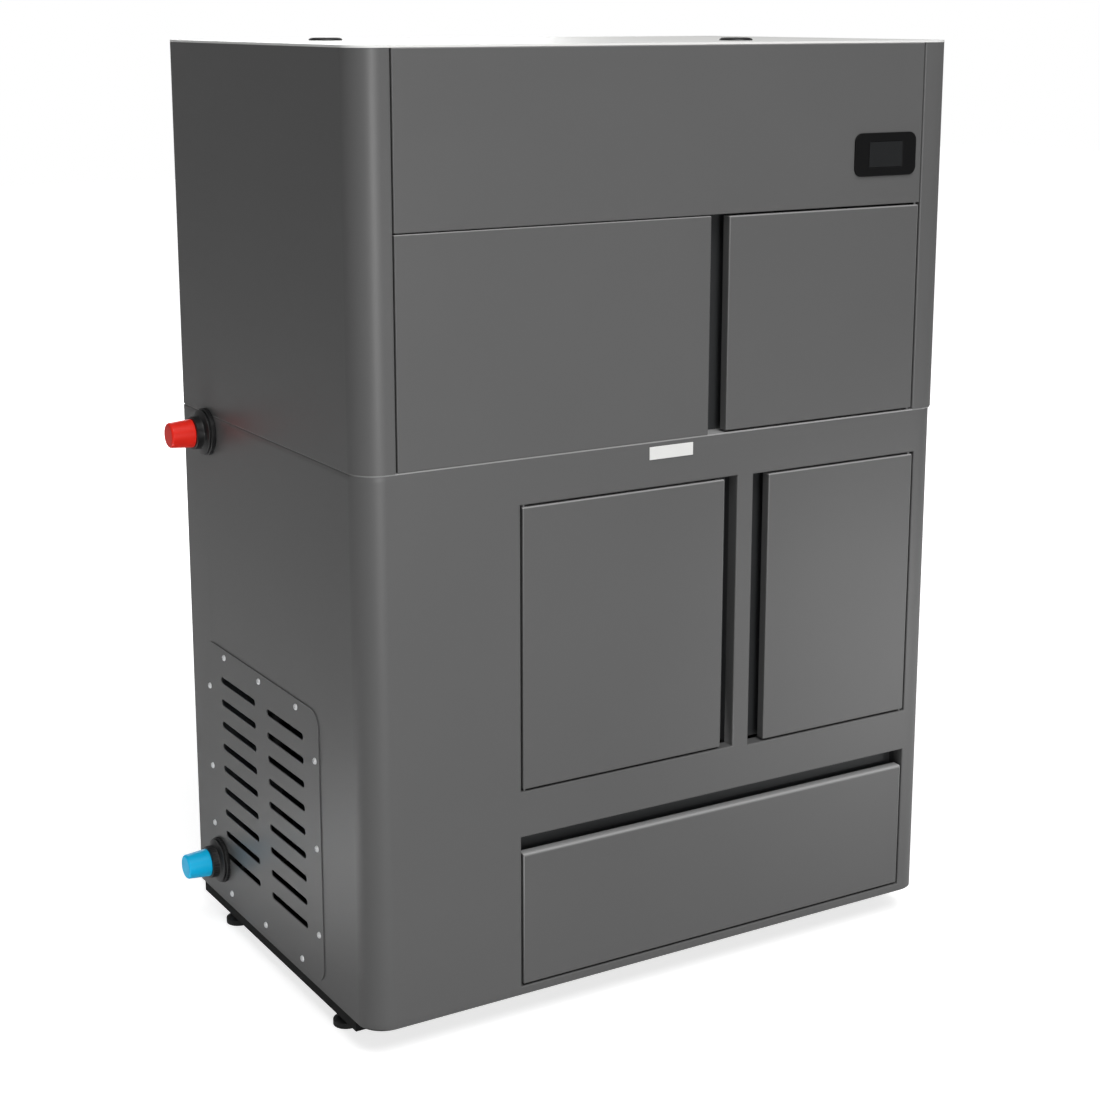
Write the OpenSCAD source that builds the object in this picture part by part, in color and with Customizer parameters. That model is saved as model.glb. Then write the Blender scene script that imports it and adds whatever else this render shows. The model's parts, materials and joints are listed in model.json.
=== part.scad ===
// Pellet boiler: a sheet-steel cabinet in two storeys on a black base frame.
// The lower storey holds the fired body, the upper one holds the pellet hopper.
// Cabinet coordinates: x from the left side, y from the front, z from the lower sheet edge.

/* [Cabinet] */
// Width of the cabinet
casing_w = 960; // [900:10:1100]
// Depth of the cabinet, front face to rear panel
casing_d = 604; // [600:2:700]
// Height of the cabinet above the base frame
casing_h = 1300; // [1290:5:1400]
// Height of the seam between the lower and the upper storey
seam_z = 764; // [762:1:775]
// Outside radius of the two front corners
corner_r = 38; // [25:1:42]
// Thickness of the cabinet sheet
sheet_t = 2; // [1.5:0.1:2.5]
// How much further in the lower storey's right side stands
lower_step = 4; // [0:1:6]
// Thickness of the deck between the storeys, which shows as the seam
deck_t = 2; // [1.5:0.1:2.5]
// How far the deck's edge stays behind the sheets
deck_inset = 1; // [0.5:0.1:1.5]
// Thickness of the top plate
top_t = 3; // [2:0.5:4]
// Width of the hairline gaps between the fixed front panels
panel_gap = 1.5; // [1.2:0.1:3]
// Width of the upper side sheets on the front face
upright_w = 52; // [48:1:60]

/* [Base] */
// Height of the base frame's bars
frame_h = 19; // [16:1:24]
// Width of the base frame's bars
frame_bar = 38; // [34:1:46]
// How far the base frame stands in from the cabinet's sides
frame_inset = 4; // [2:1:8]
// How far the base frame starts behind the front face
frame_front = 55; // [48:1:65]
// Height from the floor to the underside of the base frame
foot_h = 23; // [21:1:30]
// Radius of a foot's pad
foot_r = 19; // [16:1:21]
// Height of a foot's pad
foot_pad_h = 13; // [10:1:15]
// Radius of a foot's threaded stud
stud_r = 5; // [4:0.5:6]
// Distance of the feet from the cabinet's sides
foot_in_x = 23; // [22:1:26]
// Distance of the front feet from the front face
foot_front_y = 125; // [110:5:140]
// Distance of the rear feet from the front face
foot_rear_y = 512; // [490:2:530]
// Running clearance round a stud, pin or shaft
fit = 0.05; // [0.02:0.01:0.09]
// Gap between a piece that moves and what it sits on
seat_gap = 0.3; // [0.2:0.05:0.5]

/* [Doors] */
// Depth of the folded rim of doors, drawer front and lid
rim_d = 14; // [12:1:16]
// Gap round each door, the drawer front and the lid
door_gap = 3; // [2.8:0.1:4]
// Radius of a door's hinge pins
pin_r = 2; // [1.5:0.25:2.5]
// Distance of a hinge pin from the door's edge
pin_in = 4; // [3.5:0.25:5]
// Depth of a hinge pin behind the door's front face
pin_back = 5; // [4.5:0.25:6]
// Depth of the folded flanges round each front opening
flange_d = 20; // [18:1:24]
// Depth of the finger channels beside and above the doors
channel_d = 32; // [28:1:40]
// Left edge of the lower left opening
left_door_x = 234; // [228:1:240]
// Width of the lower left door with its gaps
left_door_w = 332; // [326:1:336]
// Width of the finger channel beside the lower left door
left_channel_w = 22; // [20:1:24]
// Bottom of the lower left opening
left_door_z = 299; // [290:1:305]
// Height of the lower left opening
left_door_h = 402; // [396:1:408]
// Width of the post between the lower doors
post_w = 28; // [24:1:32]
// Width of the finger channel beside the lower right door
right_channel_w = 27; // [24:1:30]
// Width of the lower right door with its gaps
right_door_w = 268; // [262:1:270]
// Bottom of the lower right opening
right_door_z = 296; // [290:1:302]
// Height of the lower right opening
right_door_h = 404; // [398:1:408]
// Bottom of the drawer opening
drawer_z = 12; // [8:1:16]
// Height of the drawer front with its gaps
drawer_h = 196; // [190:1:200]
// Height of the finger slot above the drawer front
slot_h = 25; // [20:1:30]
// Left edge of the upper finger channel
upper_channel_x = 536; // [530:1:545]
// Width of the upper finger channel
upper_channel_w = 30; // [26:1:34]
// Width of the upper right door with its gaps
upper_door_w = 339; // [334:1:340]
// Height of the upper right door with its gaps
upper_door_h = 303; // [298:1:308]
// Height of the fascia above the doors
fascia_h = 227; // [200:1:228]

/* [Display and plate] */
// Width of the display's bezel
bezel_w = 111; // [100:1:116]
// Height of the display's bezel
bezel_h = 61; // [55:1:66]
// How far the bezel stands proud of the fascia
bezel_proud = 2.5; // [1.5:0.25:4]
// Corner radius of the bezel
bezel_r = 12; // [8:1:16]
// Distance of the bezel from the fascia's right edge
bezel_right = 12; // [8:1:20]
// Distance of the bezel from the fascia's bottom edge
bezel_up = 41; // [30:1:60]
// Depth of the display unit behind the fascia
bezel_back = 26; // [20:1:34]
// Width of the screen
screen_w = 60; // [54:1:66]
// Height of the screen
screen_h = 36; // [32:1:40]
// Width of the blank front plate
plate_w = 72; // [66:1:78]
// Height of the blank front plate
plate_h = 18; // [16:1:20]
// Thickness of the blank front plate
plate_t = 1.2; // [1:0.1:1.5]
// Left edge of the blank front plate
plate_x = 438; // [430:1:446]
// Bottom edge of the blank front plate
plate_z = 740; // [738:1:742]

/* [Vent grille] */
// Distance of the grille from the front face
grille_y = 143; // [140:1:150]
// Depth of the grille along the side
grille_w = 402; // [396:1:406]
// Bottom edge of the grille
grille_z = 12; // [10:1:16]
// Height of the grille
grille_h = 400; // [396:1:404]
// Thickness of the grille plate
grille_t = 1.5; // [1.2:0.1:2]
// Corner radius of the grille plate
grille_r = 25; // [20:1:30]
// Number of slots in a column
slot_rows = 9; // [7:1:9]
// Distance from slot to slot
slot_pitch = 35; // [33:0.5:35]
// Height of a slot
vent_h = 10; // [8:0.5:12]
// Length of a front slot
vent_front_w = 125; // [115:1:130]
// Length of a rear slot
vent_rear_w = 128; // [118:1:132]
// Distance of the front slots from the grille's front edge
vent_front_y = 51; // [48:1:55]
// Distance of the rear slots from the grille's front edge
vent_rear_y = 218; // [214:1:222]
// Height of the lowest slots above the grille's bottom edge
vent_low_z = 65; // [60:1:68]
// Height of the rear column's lowest screw, above the return pipe's collar
screw_over_collar = 107; // [104:1:112]
// Radius of a screw's head
screw_r = 4; // [3:0.25:5]
// Height of a screw's head
screw_h = 1.5; // [1:0.1:2]

/* [Pipe stubs] */
// Radius of the flow and return pipes
pipe_r = 16.7; // [15:0.1:17]
// Wall of the flow and return pipes
pipe_t = 3; // [2:0.25:4]
// Height of the flow pipe's centre line
flow_z = 737; // [732:1:738]
// Height of the return pipe's centre line
return_z = 66; // [60:1:72]
// Distance of both pipes from the front face
pipe_y = 512; // [508:1:516]
// Length of pipe outside the cabinet
stub_out = 44; // [40:1:48]
// Radius of the black collar against the side
collar_r = 34.5; // [30:0.5:37]
// Thickness of the collar's disc
collar_disc = 6.5; // [5:0.5:8]
// Distance from the side at which the collar's flare ends
collar_flare = 14; // [12:0.5:16]
// Radius of the collar's nut
collar_nut_r = 24; // [22:0.5:26]
// Whole length of the collar
collar_l = 25; // [22:0.5:28]
// Radius of a cap at its mouth
cap_r = 21; // [20:0.25:23]
// Radius of a cap at its closed end
cap_tip_r = 18.5; // [17.5:0.25:19.5]
// Length of a cap
cap_l = 36; // [32:1:40]
// Clearance between a cap and its pipe
cap_fit = 0.4; // [0.3:0.05:0.6]
// How far a cap is pulled to come off
cap_travel = 60; // [50:1:80]

/* [Top] */
// Left edge of the hopper lid's opening
lid_x = 250; // [244:1:256]
// Width of the hopper lid's opening
lid_w = 630; // [620:1:636]
// Front edge of the hopper lid's opening
lid_y = 175; // [172:1:185]
// Depth of the hopper lid's opening
lid_d = 385; // [375:1:390]
// Radius of the caps over the lifting eyes
eye_cap_r = 24; // [20:1:26]
// How far an eye cap stands proud of the top
eye_cap_proud = 4; // [3:0.5:6]

/* [Hopper and auger] */
// Thickness of the hopper's sheet
hopper_t = 2; // [1.5:0.1:3]
// Distance of the hopper's rim inside the lid's opening
hopper_in = 5; // [4:1:8]
// Depth of the hopper's straight walls below the casing's top
hopper_deep = 150; // [140:5:160]
// Height of the auger's centre line
auger_z = 806; // [804:1:810]
// Inner radius of the auger tube
auger_r = 31; // [28:0.5:32]
// Wall of the auger tube
auger_t = 3; // [2:0.25:3.5]
// Clearance between the auger's flight and its tube
auger_gap = 1.5; // [1:0.25:2.5]
// Pitch of the auger's flight
auger_pitch = 50; // [45:1:60]
// Thickness of the auger's flight
flight_t = 4; // [3:0.25:6]
// Radius of the auger's shaft
shaft_r = 8; // [7:0.5:10]
// Left end of the auger tube
auger_x = 280; // [276:1:290]
// Length of the auger tube
auger_l = 300; // [290:1:310]
// Radius of the drop chute
chute_r = 24; // [20:0.5:26]

/* [Fired body] */
// Left side of the fired body
body_x = 200; // [196:1:204]
// Width of the fired body
body_w = 410; // [404:1:414]
// Front of the fired body
body_y = 75; // [72:1:80]
// Depth of the fired body
body_d = 485; // [480:1:490]
// Underside of the fired body
body_z = 225; // [222:1:230]
// Thickness of the fired body's jacket walls
jacket_t = 12; // [10:0.5:14]
// Left edge of the firebox opening
fire_x = 285; // [282:1:290]
// Width of the firebox opening
fire_w = 250; // [240:1:254]
// Bottom of the firebox opening
fire_z = 335; // [330:1:345]
// Height of the firebox opening
fire_h = 340; // [330:1:344]
// Thickness of the firebox door
fire_door_t = 22; // [18:1:23]
// Overlap of the firebox door round its opening
fire_lap = 15; // [13:1:16]
// Distance of the firebox door's pin from its opening
fire_pin_out = 18; // [16:1:19]
// Radius of the firebox door's pins
fire_pin_r = 4; // [3:0.25:5]
// Thickness of the firebox door's rope seal
seal_t = 3; // [2:0.25:4]
// Radius of the burner pot
pot_r = 45; // [40:1:50]
// Height of the burner pot
pot_h = 64; // [56:1:72]
// Height of the shelf that holds the burner pot
shelf_z = 330; // [325:1:333]
// Distance of the baffle behind the burner from the fired body's front
baffle_in = 360; // [356:1:366]
// Radius of the igniter
igniter_r = 8; // [6:0.5:9]
// Number of heat exchanger tubes
tube_count = 6; // [4:1:6]
// Outer radius of a heat exchanger tube
tube_r = 24; // [20:1:25]
// Distance of the tubes' upper ends below the jacket
tube_drop = 60; // [50:1:70]
// Stroke of the cleaning comb
comb_travel = 24; // [15:1:28]

/* [Ash drawer] */
// Left side of the ash tray
tray_x = 262; // [256:1:268]
// Width of the ash tray
tray_w = 340; // [330:1:346]
// Length of the ash tray
tray_l = 424; // [410:1:440]
// Height of the ash tray
tray_h = 125; // [110:1:140]
// Height of the runners under the tray
runner_h = 24; // [20:1:28]
// How far the drawer pulls out
drawer_travel = 360; // [300:5:380]

/* [Flue fan] */
// Radius of the fan housing
fan_r = 92; // [86:1:96]
// Width of the fan housing
fan_w = 90; // [88:1:92]
// Distance of the fan's shaft from the front face
fan_y = 490; // [486:1:494]
// Height of the fan's shaft
fan_z = 400; // [390:1:410]
// Outer radius of the flue spigot
flue_r = 40; // [38:0.5:41]
// Wall of the flue spigot
flue_t = 2; // [1.5:0.25:3]
// Length of the flue spigot behind the rear panel
flue_out = 60; // [50:1:80]
// Outer radius of the air intake
intake_r = 30; // [25:0.5:34]
// Length of the air intake behind the rear panel
intake_out = 40; // [30:1:50]
// Height of the air intake
intake_z = 180; // [170:1:190]

/* [Water side and electrics] */
// Radius of the expansion vessel
vessel_r = 125; // [110:1:130]
// Depth of the expansion vessel
vessel_d = 90; // [80:1:100]
// Width of the control box
control_w = 165; // [150:1:172]
// Depth of the control box
control_d = 140; // [120:5:160]
// Height of the mains inlet
inlet_z = 880; // [870:1:900]
// Travel of the rocker switch in degrees
rocker_turn = 14; // [10:1:18]

/* [Hidden] */
$fn = 64;
near = 0.01;

base_h = foot_h + frame_h;
stub_reach = collar_l + cap_l;
front_reach = max(bezel_proud, plate_t);
casing_x = (stub_reach - casing_w) / 2;
casing_y = (front_reach - casing_d - flue_out) / 2;
inner_top = casing_h - top_t;
slope_z = casing_h - hopper_deep;
shell_lip = 14;
lower_w = casing_w - lower_step;
lower_top = seam_z - deck_t / 2;
upper_bottom = seam_z + deck_t / 2;
rear_y = casing_d - sheet_t;

left_channel_x = left_door_x + left_door_w;
right_channel_x = left_channel_x + left_channel_w + post_w;
right_door_x = right_channel_x + right_channel_w;
front_right_x = right_door_x + right_door_w;
drawer_w = front_right_x - left_door_x;
upper_door_x = upper_channel_x + upper_channel_w;
upper_right_x = upper_door_x + upper_door_w;
fascia_z = inner_top - fascia_h;
bezel_x = upper_right_x - panel_gap - bezel_right - bezel_w;
bezel_z = fascia_z + bezel_up;

fire_pin_x = fire_x - fire_pin_out;
fire_door_y = body_y - seat_gap - seal_t - fire_door_t;
fire_pin_y = fire_door_y + fire_door_t / 3;
body_top = lower_top - 7;
mid_x = auger_x + auger_r + 19;
auger_y = lid_y + lid_d / 2;
hopper_bottom_z = auger_z + auger_r - 3;
pot_x = mid_x;

steel_grey = "#676767";
edge_black = "#202020";

// Puts a piece drawn in cabinet coordinates into the model's own frame
module in_cabinet() {
    translate([casing_x, casing_y, base_h]) children();
}

// Box from a corner and its three sizes
module slab(x, y, z, w, d, h) {
    translate([x, y, z]) cube([w, d, h]);
}

// Round bar along the depth, from a point on its axis
module rod_y(x, y, z, r, l) {
    translate([x, y, z]) rotate([-90, 0, 0]) cylinder(r = r, h = l);
}

// Round bar along the width, from a point on its axis
module rod_x(x, y, z, r, l) {
    translate([x, y, z]) rotate([0, 90, 0]) cylinder(r = r, h = l);
}

// Round bar upwards, from a point on its axis
module rod_z(x, y, z, r, l) {
    translate([x, y, z]) cylinder(r = r, h = l);
}

// Rectangle with round corners, from its lower left corner
module round_rect(w, h, r) {
    translate([r, 0]) square([w - 2 * r, h]);
    translate([0, r]) square([w, h - 2 * r]);
    for (x = [r, w - r], y = [r, h - r]) translate([x, y]) circle(r);
}

// Plan of the cabinet with its two round front corners, drawn in by an inset
module footprint(w, inset, past = 0) {
    translate([corner_r, inset]) square([w - 2 * corner_r, casing_d + past - inset]);
    translate([inset, corner_r]) square([w - 2 * inset, casing_d + past - corner_r]);
    for (x = [corner_r, w - corner_r]) translate([x, corner_r]) circle(corner_r - inset);
}

// Sheet bent round the front and both sides, open at the rear
module wrap(w, z0, z1) {
    translate([0, 0, z0]) linear_extrude(z1 - z0) difference() {
        footprint(w, 0);
        footprint(w, sheet_t, 1);
    }
}

// Hole through the front sheet
module front_cut(x, z, w, h) {
    slab(x, -1, z, w, sheet_t + 2, h);
}

// Folded flanges round a front opening
module front_flange(x, z, w, h) {
    difference() {
        slab(x - sheet_t, 0, z - sheet_t, w + 2 * sheet_t, flange_d, h + 2 * sheet_t);
        slab(x, -1, z, w, flange_d + 2, h);
    }
}

// Front panel with its rims folded back
module pan(x, z, w, h) {
    difference() {
        slab(x, 0, z, w, rim_d, h);
        slab(x + sheet_t, sheet_t, z + sheet_t, w - 2 * sheet_t, rim_d, h - 2 * sheet_t);
    }
}

// Two hinge pins standing out of a door's rims, from z0 up and from z1 down
module hinge_pins(x, z0, z1) {
    rim = door_gap + 2 * sheet_t;
    rod_z(x, pin_back, z0 - sheet_t, pin_r, rim + sheet_t);
    rod_z(x, pin_back, z1 - rim, pin_r, rim + sheet_t);
}

// Holes for two hinge pins in the flanges below z0 and above z1
module pin_holes(x, z0, z1) {
    rod_z(x, pin_back, z0 - sheet_t - 1, pin_r + fit, sheet_t + 2);
    rod_z(x, pin_back, z1 - 1, pin_r + fit, sheet_t + 2);
}

left_hinge_x = left_door_x + door_gap + pin_in;
right_hinge_x = front_right_x - door_gap - pin_in;
upper_hinge_x = upper_right_x - door_gap - pin_in;
left_door_top = left_door_z + left_door_h;
right_door_top = right_door_z + right_door_h;
slot_z = drawer_z + drawer_h;
feet = [
    [foot_in_x, foot_front_y], [lower_w - foot_in_x, foot_front_y],
    [foot_in_x, foot_rear_y], [lower_w - foot_in_x, foot_rear_y]
];

module base_frame() {
    w = lower_w - 2 * frame_inset;
    d = casing_d - frame_inset - frame_front;
    pan_x = frame_inset + frame_bar;
    pan_y = frame_front + frame_bar;
    color(edge_black) difference() {
        slab(frame_inset, frame_front, -frame_h, w, d, frame_h);
        slab(pan_x, pan_y, -frame_h - 1, w - 2 * frame_bar, d - 2 * frame_bar, frame_h + 1 - sheet_t);
        for (p = feet) rod_z(p[0], p[1], -frame_h - 1, stud_r + fit, frame_h + 2);
    }
}

// Levelling foot: pad, threaded stud and lock nut
module foot(i) {
    nut_h = 5;
    color("#181818") translate([feet[i][0], feet[i][1], -base_h]) {
        cylinder(r = foot_r, h = foot_pad_h * 0.6);
        translate([0, 0, foot_pad_h * 0.6]) cylinder(r1 = foot_r, r2 = foot_r * 0.62, h = foot_pad_h * 0.4);
        cylinder(r = stud_r, h = base_h - 1);
        translate([0, 0, foot_h - seat_gap - nut_h]) cylinder(r = stud_r * 1.8, h = nut_h, $fn = 6);
    }
}

module foot_front_left() { foot(0); }
module foot_front_right() { foot(1); }
module foot_rear_left() { foot(2); }
module foot_rear_right() { foot(3); }

module lower_shell() {
    front_lip = frame_front + 5;
    vent_lip = 18;
    left_w = left_door_w + left_channel_w;
    right_w = right_channel_w + right_door_w;
    full_h = drawer_h + slot_h;
    color(steel_grey) difference() {
        union() {
            difference() {
                wrap(lower_w, 0, lower_top);
                front_cut(left_door_x, left_door_z, left_w, left_door_h);
                front_cut(right_channel_x, right_door_z, right_w, right_door_h);
                front_cut(left_door_x, drawer_z, drawer_w, full_h);
            }
            front_flange(left_door_x, left_door_z, left_w, left_door_h);
            front_flange(right_channel_x, right_door_z, right_w, right_door_h);
            front_flange(left_door_x, drawer_z, drawer_w, full_h);
            linear_extrude(sheet_t) difference() {
                footprint(lower_w, 0);
                translate([shell_lip, front_lip]) square([lower_w - 2 * shell_lip, casing_d]);
            }
        }
        pin_holes(left_hinge_x, left_door_z, left_door_top);
        pin_holes(right_hinge_x, right_door_z, right_door_top);
        slab(-1, grille_y + vent_lip, grille_z + vent_lip, sheet_t + 2, grille_w - 2 * vent_lip, grille_h - 2 * vent_lip);
        for (z = [flow_z, return_z]) rod_x(-1, pipe_y, z, pipe_r + 3, sheet_t + 2);
    }
}

// Upright plate outline turned onto the left side
module on_left_side() {
    translate([-grille_t, grille_y, grille_z]) rotate([90, 0, 90]) linear_extrude(grille_t) children();
}

// Grille screws as places along the side and up it
screw_in = 12;
screw_corner = 72;
screw_row = (grille_w - 2 * screw_corner) / 2;
screw_column = (grille_h - 2 * screw_corner) / 2;
screw_spots = concat(
    [for (i = [0:2], z = [screw_in, grille_h - screw_in]) [screw_corner + i * screw_row, z]],
    [for (i = [0:2]) [screw_in, screw_corner + i * screw_column]],
    [for (z = [screw_over_collar, screw_corner + screw_column, grille_h - screw_corner]) [grille_w - screw_in, z]]
);

module vent_grille() {
    color(steel_grey) on_left_side() difference() {
        round_rect(grille_w, grille_h, grille_r);
        for (i = [0:slot_rows - 1]) {
            translate([vent_front_y, vent_low_z + i * slot_pitch]) round_rect(vent_front_w, vent_h, vent_h / 2 - near);
            translate([vent_rear_y, vent_low_z + i * slot_pitch]) round_rect(vent_rear_w, vent_h, vent_h / 2 - near);
        }
        for (z = [return_z]) translate([pipe_y - grille_y, z - grille_z]) circle(pipe_r + 3);
    }
}

module grille_screws() {
    color("#c0c0c0") for (s = screw_spots)
        translate([-grille_t, grille_y + s[0], grille_z + s[1]]) rotate([0, -90, 0])
            cylinder(r1 = screw_r, r2 = screw_r * 0.6, h = screw_h);
}

module rear_panel_lower() {
    edge = shell_lip + near;
    color("#8a8c8e") difference() {
        union() {
            slab(sheet_t, rear_y, sheet_t, lower_w - 2 * sheet_t, sheet_t, lower_top - sheet_t);
            slab(edge, rear_y, near, lower_w - 2 * edge, sheet_t, 2 * sheet_t);
        }
        rod_y(flue_x, rear_y - 1, flue_z, flue_r + 1.5, sheet_t + 2);
        rod_y(intake_x, rear_y - 1, intake_z, intake_r + 0.5, sheet_t + 2);
    }
}

module rear_panel_upper() {
    color("#8a8c8e") difference() {
        slab(sheet_t, rear_y, upper_bottom, casing_w - 2 * sheet_t, sheet_t, inner_top - upper_bottom);
        slab(inlet_x + 3, rear_y - 1, inlet_z + 3, inlet_w - 6, sheet_t + 2, inlet_h - 6);
    }
}

module mid_deck() {
    color("#6a6a6a") difference() {
        translate([0, 0, lower_top]) linear_extrude(deck_t) intersection() {
            footprint(casing_w, deck_inset);
            square([casing_w, casing_d - deck_inset]);
        }
        rod_z(mid_x, auger_y, lower_top - 1, chute_r + 0.5, deck_t + 2);
        rod_z(upper_hinge_x, pin_back, lower_top - 1, pin_r + fit, deck_t + 2);
    }
}

// Bent sheet of one upper side, cut off at the front panels
module upper_side(x, w, flange_x) {
    intersection() {
        wrap(casing_w, upper_bottom, inner_top);
        slab(x, -1, upper_bottom - 1, w, casing_d + 2, casing_h);
    }
    slab(flange_x, 0, upper_bottom, sheet_t, flange_d, inner_top - upper_bottom);
}

module upper_left_side() {
    color(steel_grey) upper_side(-1, upright_w + 1, upright_w - sheet_t);
}

module upper_right_side() {
    color(steel_grey) upper_side(upper_right_x, casing_w - upper_right_x + 1, upper_right_x);
}

module top_panel() {
    color("#d8d8d8") difference() {
        union() {
            translate([0, 0, inner_top]) linear_extrude(top_t) footprint(casing_w, 0);
            slab(lid_x - sheet_t, lid_y - sheet_t, casing_h - flange_d,
                lid_w + 2 * sheet_t, lid_d + 2 * sheet_t, flange_d);
        }
        slab(lid_x, lid_y, casing_h - flange_d - 1, lid_w, lid_d, flange_d + 2);
        rod_x(lid_x - sheet_t - 1, lid_hinge_y, lid_hinge_z, pin_r + fit, lid_w + 2 * sheet_t + 2);
    }
}

lid_hinge_y = lid_y + lid_d - door_gap - pin_in;
lid_hinge_z = casing_h - pin_back;

module lifting_eye_caps() {
    color("#202020") for (p = [[163, 423], [662, 126]])
        translate([p[0], p[1], casing_h]) cylinder(r1 = eye_cap_r, r2 = eye_cap_r - 3, h = eye_cap_proud);
}

module hopper_lid() {
    w = lid_w - 2 * door_gap;
    d = lid_d - 2 * door_gap;
    reach = door_gap + sheet_t;
    color("#d8d8d8") translate([lid_x + door_gap, lid_y + door_gap, casing_h - rim_d]) difference() {
        cube([w, d, rim_d]);
        slab(sheet_t, sheet_t, -1, w - 2 * sheet_t, d - 2 * sheet_t, rim_d + 1 - sheet_t);
    }
    color("#d8d8d8") for (x = [lid_x - sheet_t, lid_x + lid_w - reach - sheet_t])
        rod_x(x, lid_hinge_y, lid_hinge_z, pin_r, reach + 2 * sheet_t);
}

module fascia_panel() {
    x = upright_w + panel_gap;
    w = upper_right_x - panel_gap - x;
    back = 5;
    color(steel_grey) difference() {
        pan(x, fascia_z, w, fascia_h);
        slab(bezel_x + back - 0.5, -1, bezel_z + back - 0.5, bezel_w - 2 * back + 1, sheet_t + 2, bezel_h - 2 * back + 1);
        rod_z(upper_hinge_x, pin_back, fascia_z - 1, pin_r + fit, sheet_t + 2);
    }
}

module hopper_front_panel() {
    x = upright_w + panel_gap;
    color(steel_grey) pan(x, upper_bottom, upper_channel_x - x, fascia_z - panel_gap - upper_bottom);
}

module upper_right_door() {
    color(steel_grey) union() {
        pan(upper_door_x, upper_bottom + door_gap, upper_door_w - door_gap, fascia_z - upper_bottom - 2 * door_gap);
        hinge_pins(upper_hinge_x, upper_bottom, fascia_z);
    }
}

module lower_left_door() {
    color(steel_grey) union() {
        pan(left_door_x + door_gap, left_door_z + door_gap, left_door_w - door_gap, left_door_h - 2 * door_gap);
        hinge_pins(left_hinge_x, left_door_z, left_door_top);
    }
}

module lower_right_door() {
    color(steel_grey) union() {
        pan(right_door_x, right_door_z + door_gap, right_door_w - door_gap, right_door_h - 2 * door_gap);
        hinge_pins(right_hinge_x, right_door_z, right_door_top);
    }
}

// Liner behind a finger channel: a back wall, and a side wall on the fixed side
module channel_liner(x, w, z, h, wall_x, wall_y) {
    slab(x, channel_d - sheet_t, z, w, sheet_t, h);
    slab(wall_x, wall_y, z, sheet_t, channel_d - wall_y, h);
}

channel_behind = 15;

module upper_channel() {
    color("#2c2c2c") channel_liner(upper_channel_x - sheet_t, upper_channel_w + sheet_t + channel_behind,
        upper_bottom, fascia_z - upper_bottom, upper_channel_x - sheet_t, rim_d);
}

module left_channel() {
    color("#2c2c2c") channel_liner(left_channel_x - channel_behind, left_channel_w + channel_behind + sheet_t,
        left_door_z, left_door_h, left_channel_x + left_channel_w, flange_d);
}

module right_channel() {
    color("#2c2c2c") channel_liner(right_channel_x - sheet_t, right_channel_w + channel_behind + sheet_t,
        right_door_z, right_door_h, right_channel_x - sheet_t, flange_d);
}

module drawer_channel() {
    w = drawer_w + 2 * sheet_t;
    color("#2c2c2c") union() {
        slab(left_door_x - sheet_t, channel_d - sheet_t, slot_z - channel_behind, w, sheet_t,
            slot_h + channel_behind + sheet_t);
        slab(left_door_x - sheet_t, flange_d, slot_z + slot_h, w, channel_d - flange_d, sheet_t);
    }
}

module drawer_front() {
    color(steel_grey) pan(left_door_x + door_gap, drawer_z + door_gap, drawer_w - 2 * door_gap, drawer_h - door_gap);
}

tray_z = runner_h + seat_gap;

module ash_tray() {
    color("#8c8c8c") difference() {
        slab(tray_x, sheet_t, tray_z, tray_w, tray_l, tray_h);
        slab(tray_x + sheet_t, 2 * sheet_t, tray_z + sheet_t, tray_w - 2 * sheet_t, tray_l - 2 * sheet_t, tray_h);
    }
}

module drawer_runners() {
    rail_w = 20;
    front = frame_front + 6;
    color("#707274") for (x = [tray_x + rail_w, tray_x + tray_w - 2 * rail_w])
        slab(x, front, 0, rail_w, casing_d - frame_inset - front, runner_h);
}

module front_plate() {
    color("#ececec") slab(plate_x, -plate_t, plate_z, plate_w, plate_t, plate_h);
}

// Rounded plate standing on the front face
module front_round(x, z, w, h, r, y, d) {
    translate([x, y + d, z]) rotate([90, 0, 0]) linear_extrude(d) round_rect(w, h, r);
}

screen_in = 1;
screen_x = bezel_x + (bezel_w - screen_w) / 2;
screen_z = bezel_z + (bezel_h - screen_h) / 2;

module display_bezel() {
    back = 5;
    color("#101010") difference() {
        union() {
            front_round(bezel_x, bezel_z, bezel_w, bezel_h, bezel_r, -bezel_proud, bezel_proud);
            slab(bezel_x + back, 0, bezel_z + back, bezel_w - 2 * back, bezel_back, bezel_h - 2 * back);
        }
        slab(screen_x, -bezel_proud - 1, screen_z, screen_w, screen_in + 1, screen_h);
    }
}

module display_screen() {
    edge = 0.2;
    color("#262626") slab(screen_x + edge, screen_in - bezel_proud - 0.7, screen_z + edge,
        screen_w - 2 * edge, 0.7, screen_h - 2 * edge);
}

module control_box() {
    room = 10;
    color("#3c4144") slab(bezel_x - room - control_w, sheet_t, fascia_z + room,
        control_w, control_d, fascia_h - 2 * room);
}

inlet_w = 50;
inlet_h = 76;
inlet_x = casing_w - 120;
rocker_r = 12;
rocker_w = 20;
rocker_y = casing_d - 4;
rocker_z = inlet_z + inlet_h - 22;
rocker_x = inlet_x + (inlet_w - rocker_w) / 2;

module mains_inlet() {
    plate = 3;
    depth = 22;
    wide = 24;
    high = 18;
    color("#151515") difference() {
        union() {
            slab(inlet_x, casing_d, inlet_z, inlet_w, plate, inlet_h);
            slab(inlet_x + 4, casing_d - depth, inlet_z + 4, inlet_w - 8, depth, inlet_h - 8);
        }
        slab(inlet_x + (inlet_w - wide) / 2, casing_d + plate - 16, inlet_z + 13, wide, 17, high);
        slab(rocker_x - 0.5, rocker_y - rocker_r - 1, rocker_z - rocker_r - 0.5, rocker_w + 1, 40, 2 * rocker_r + 1);
        rod_x(rocker_x - 4, rocker_y, rocker_z, 1.5 + fit, rocker_w + 8);
    }
}

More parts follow.
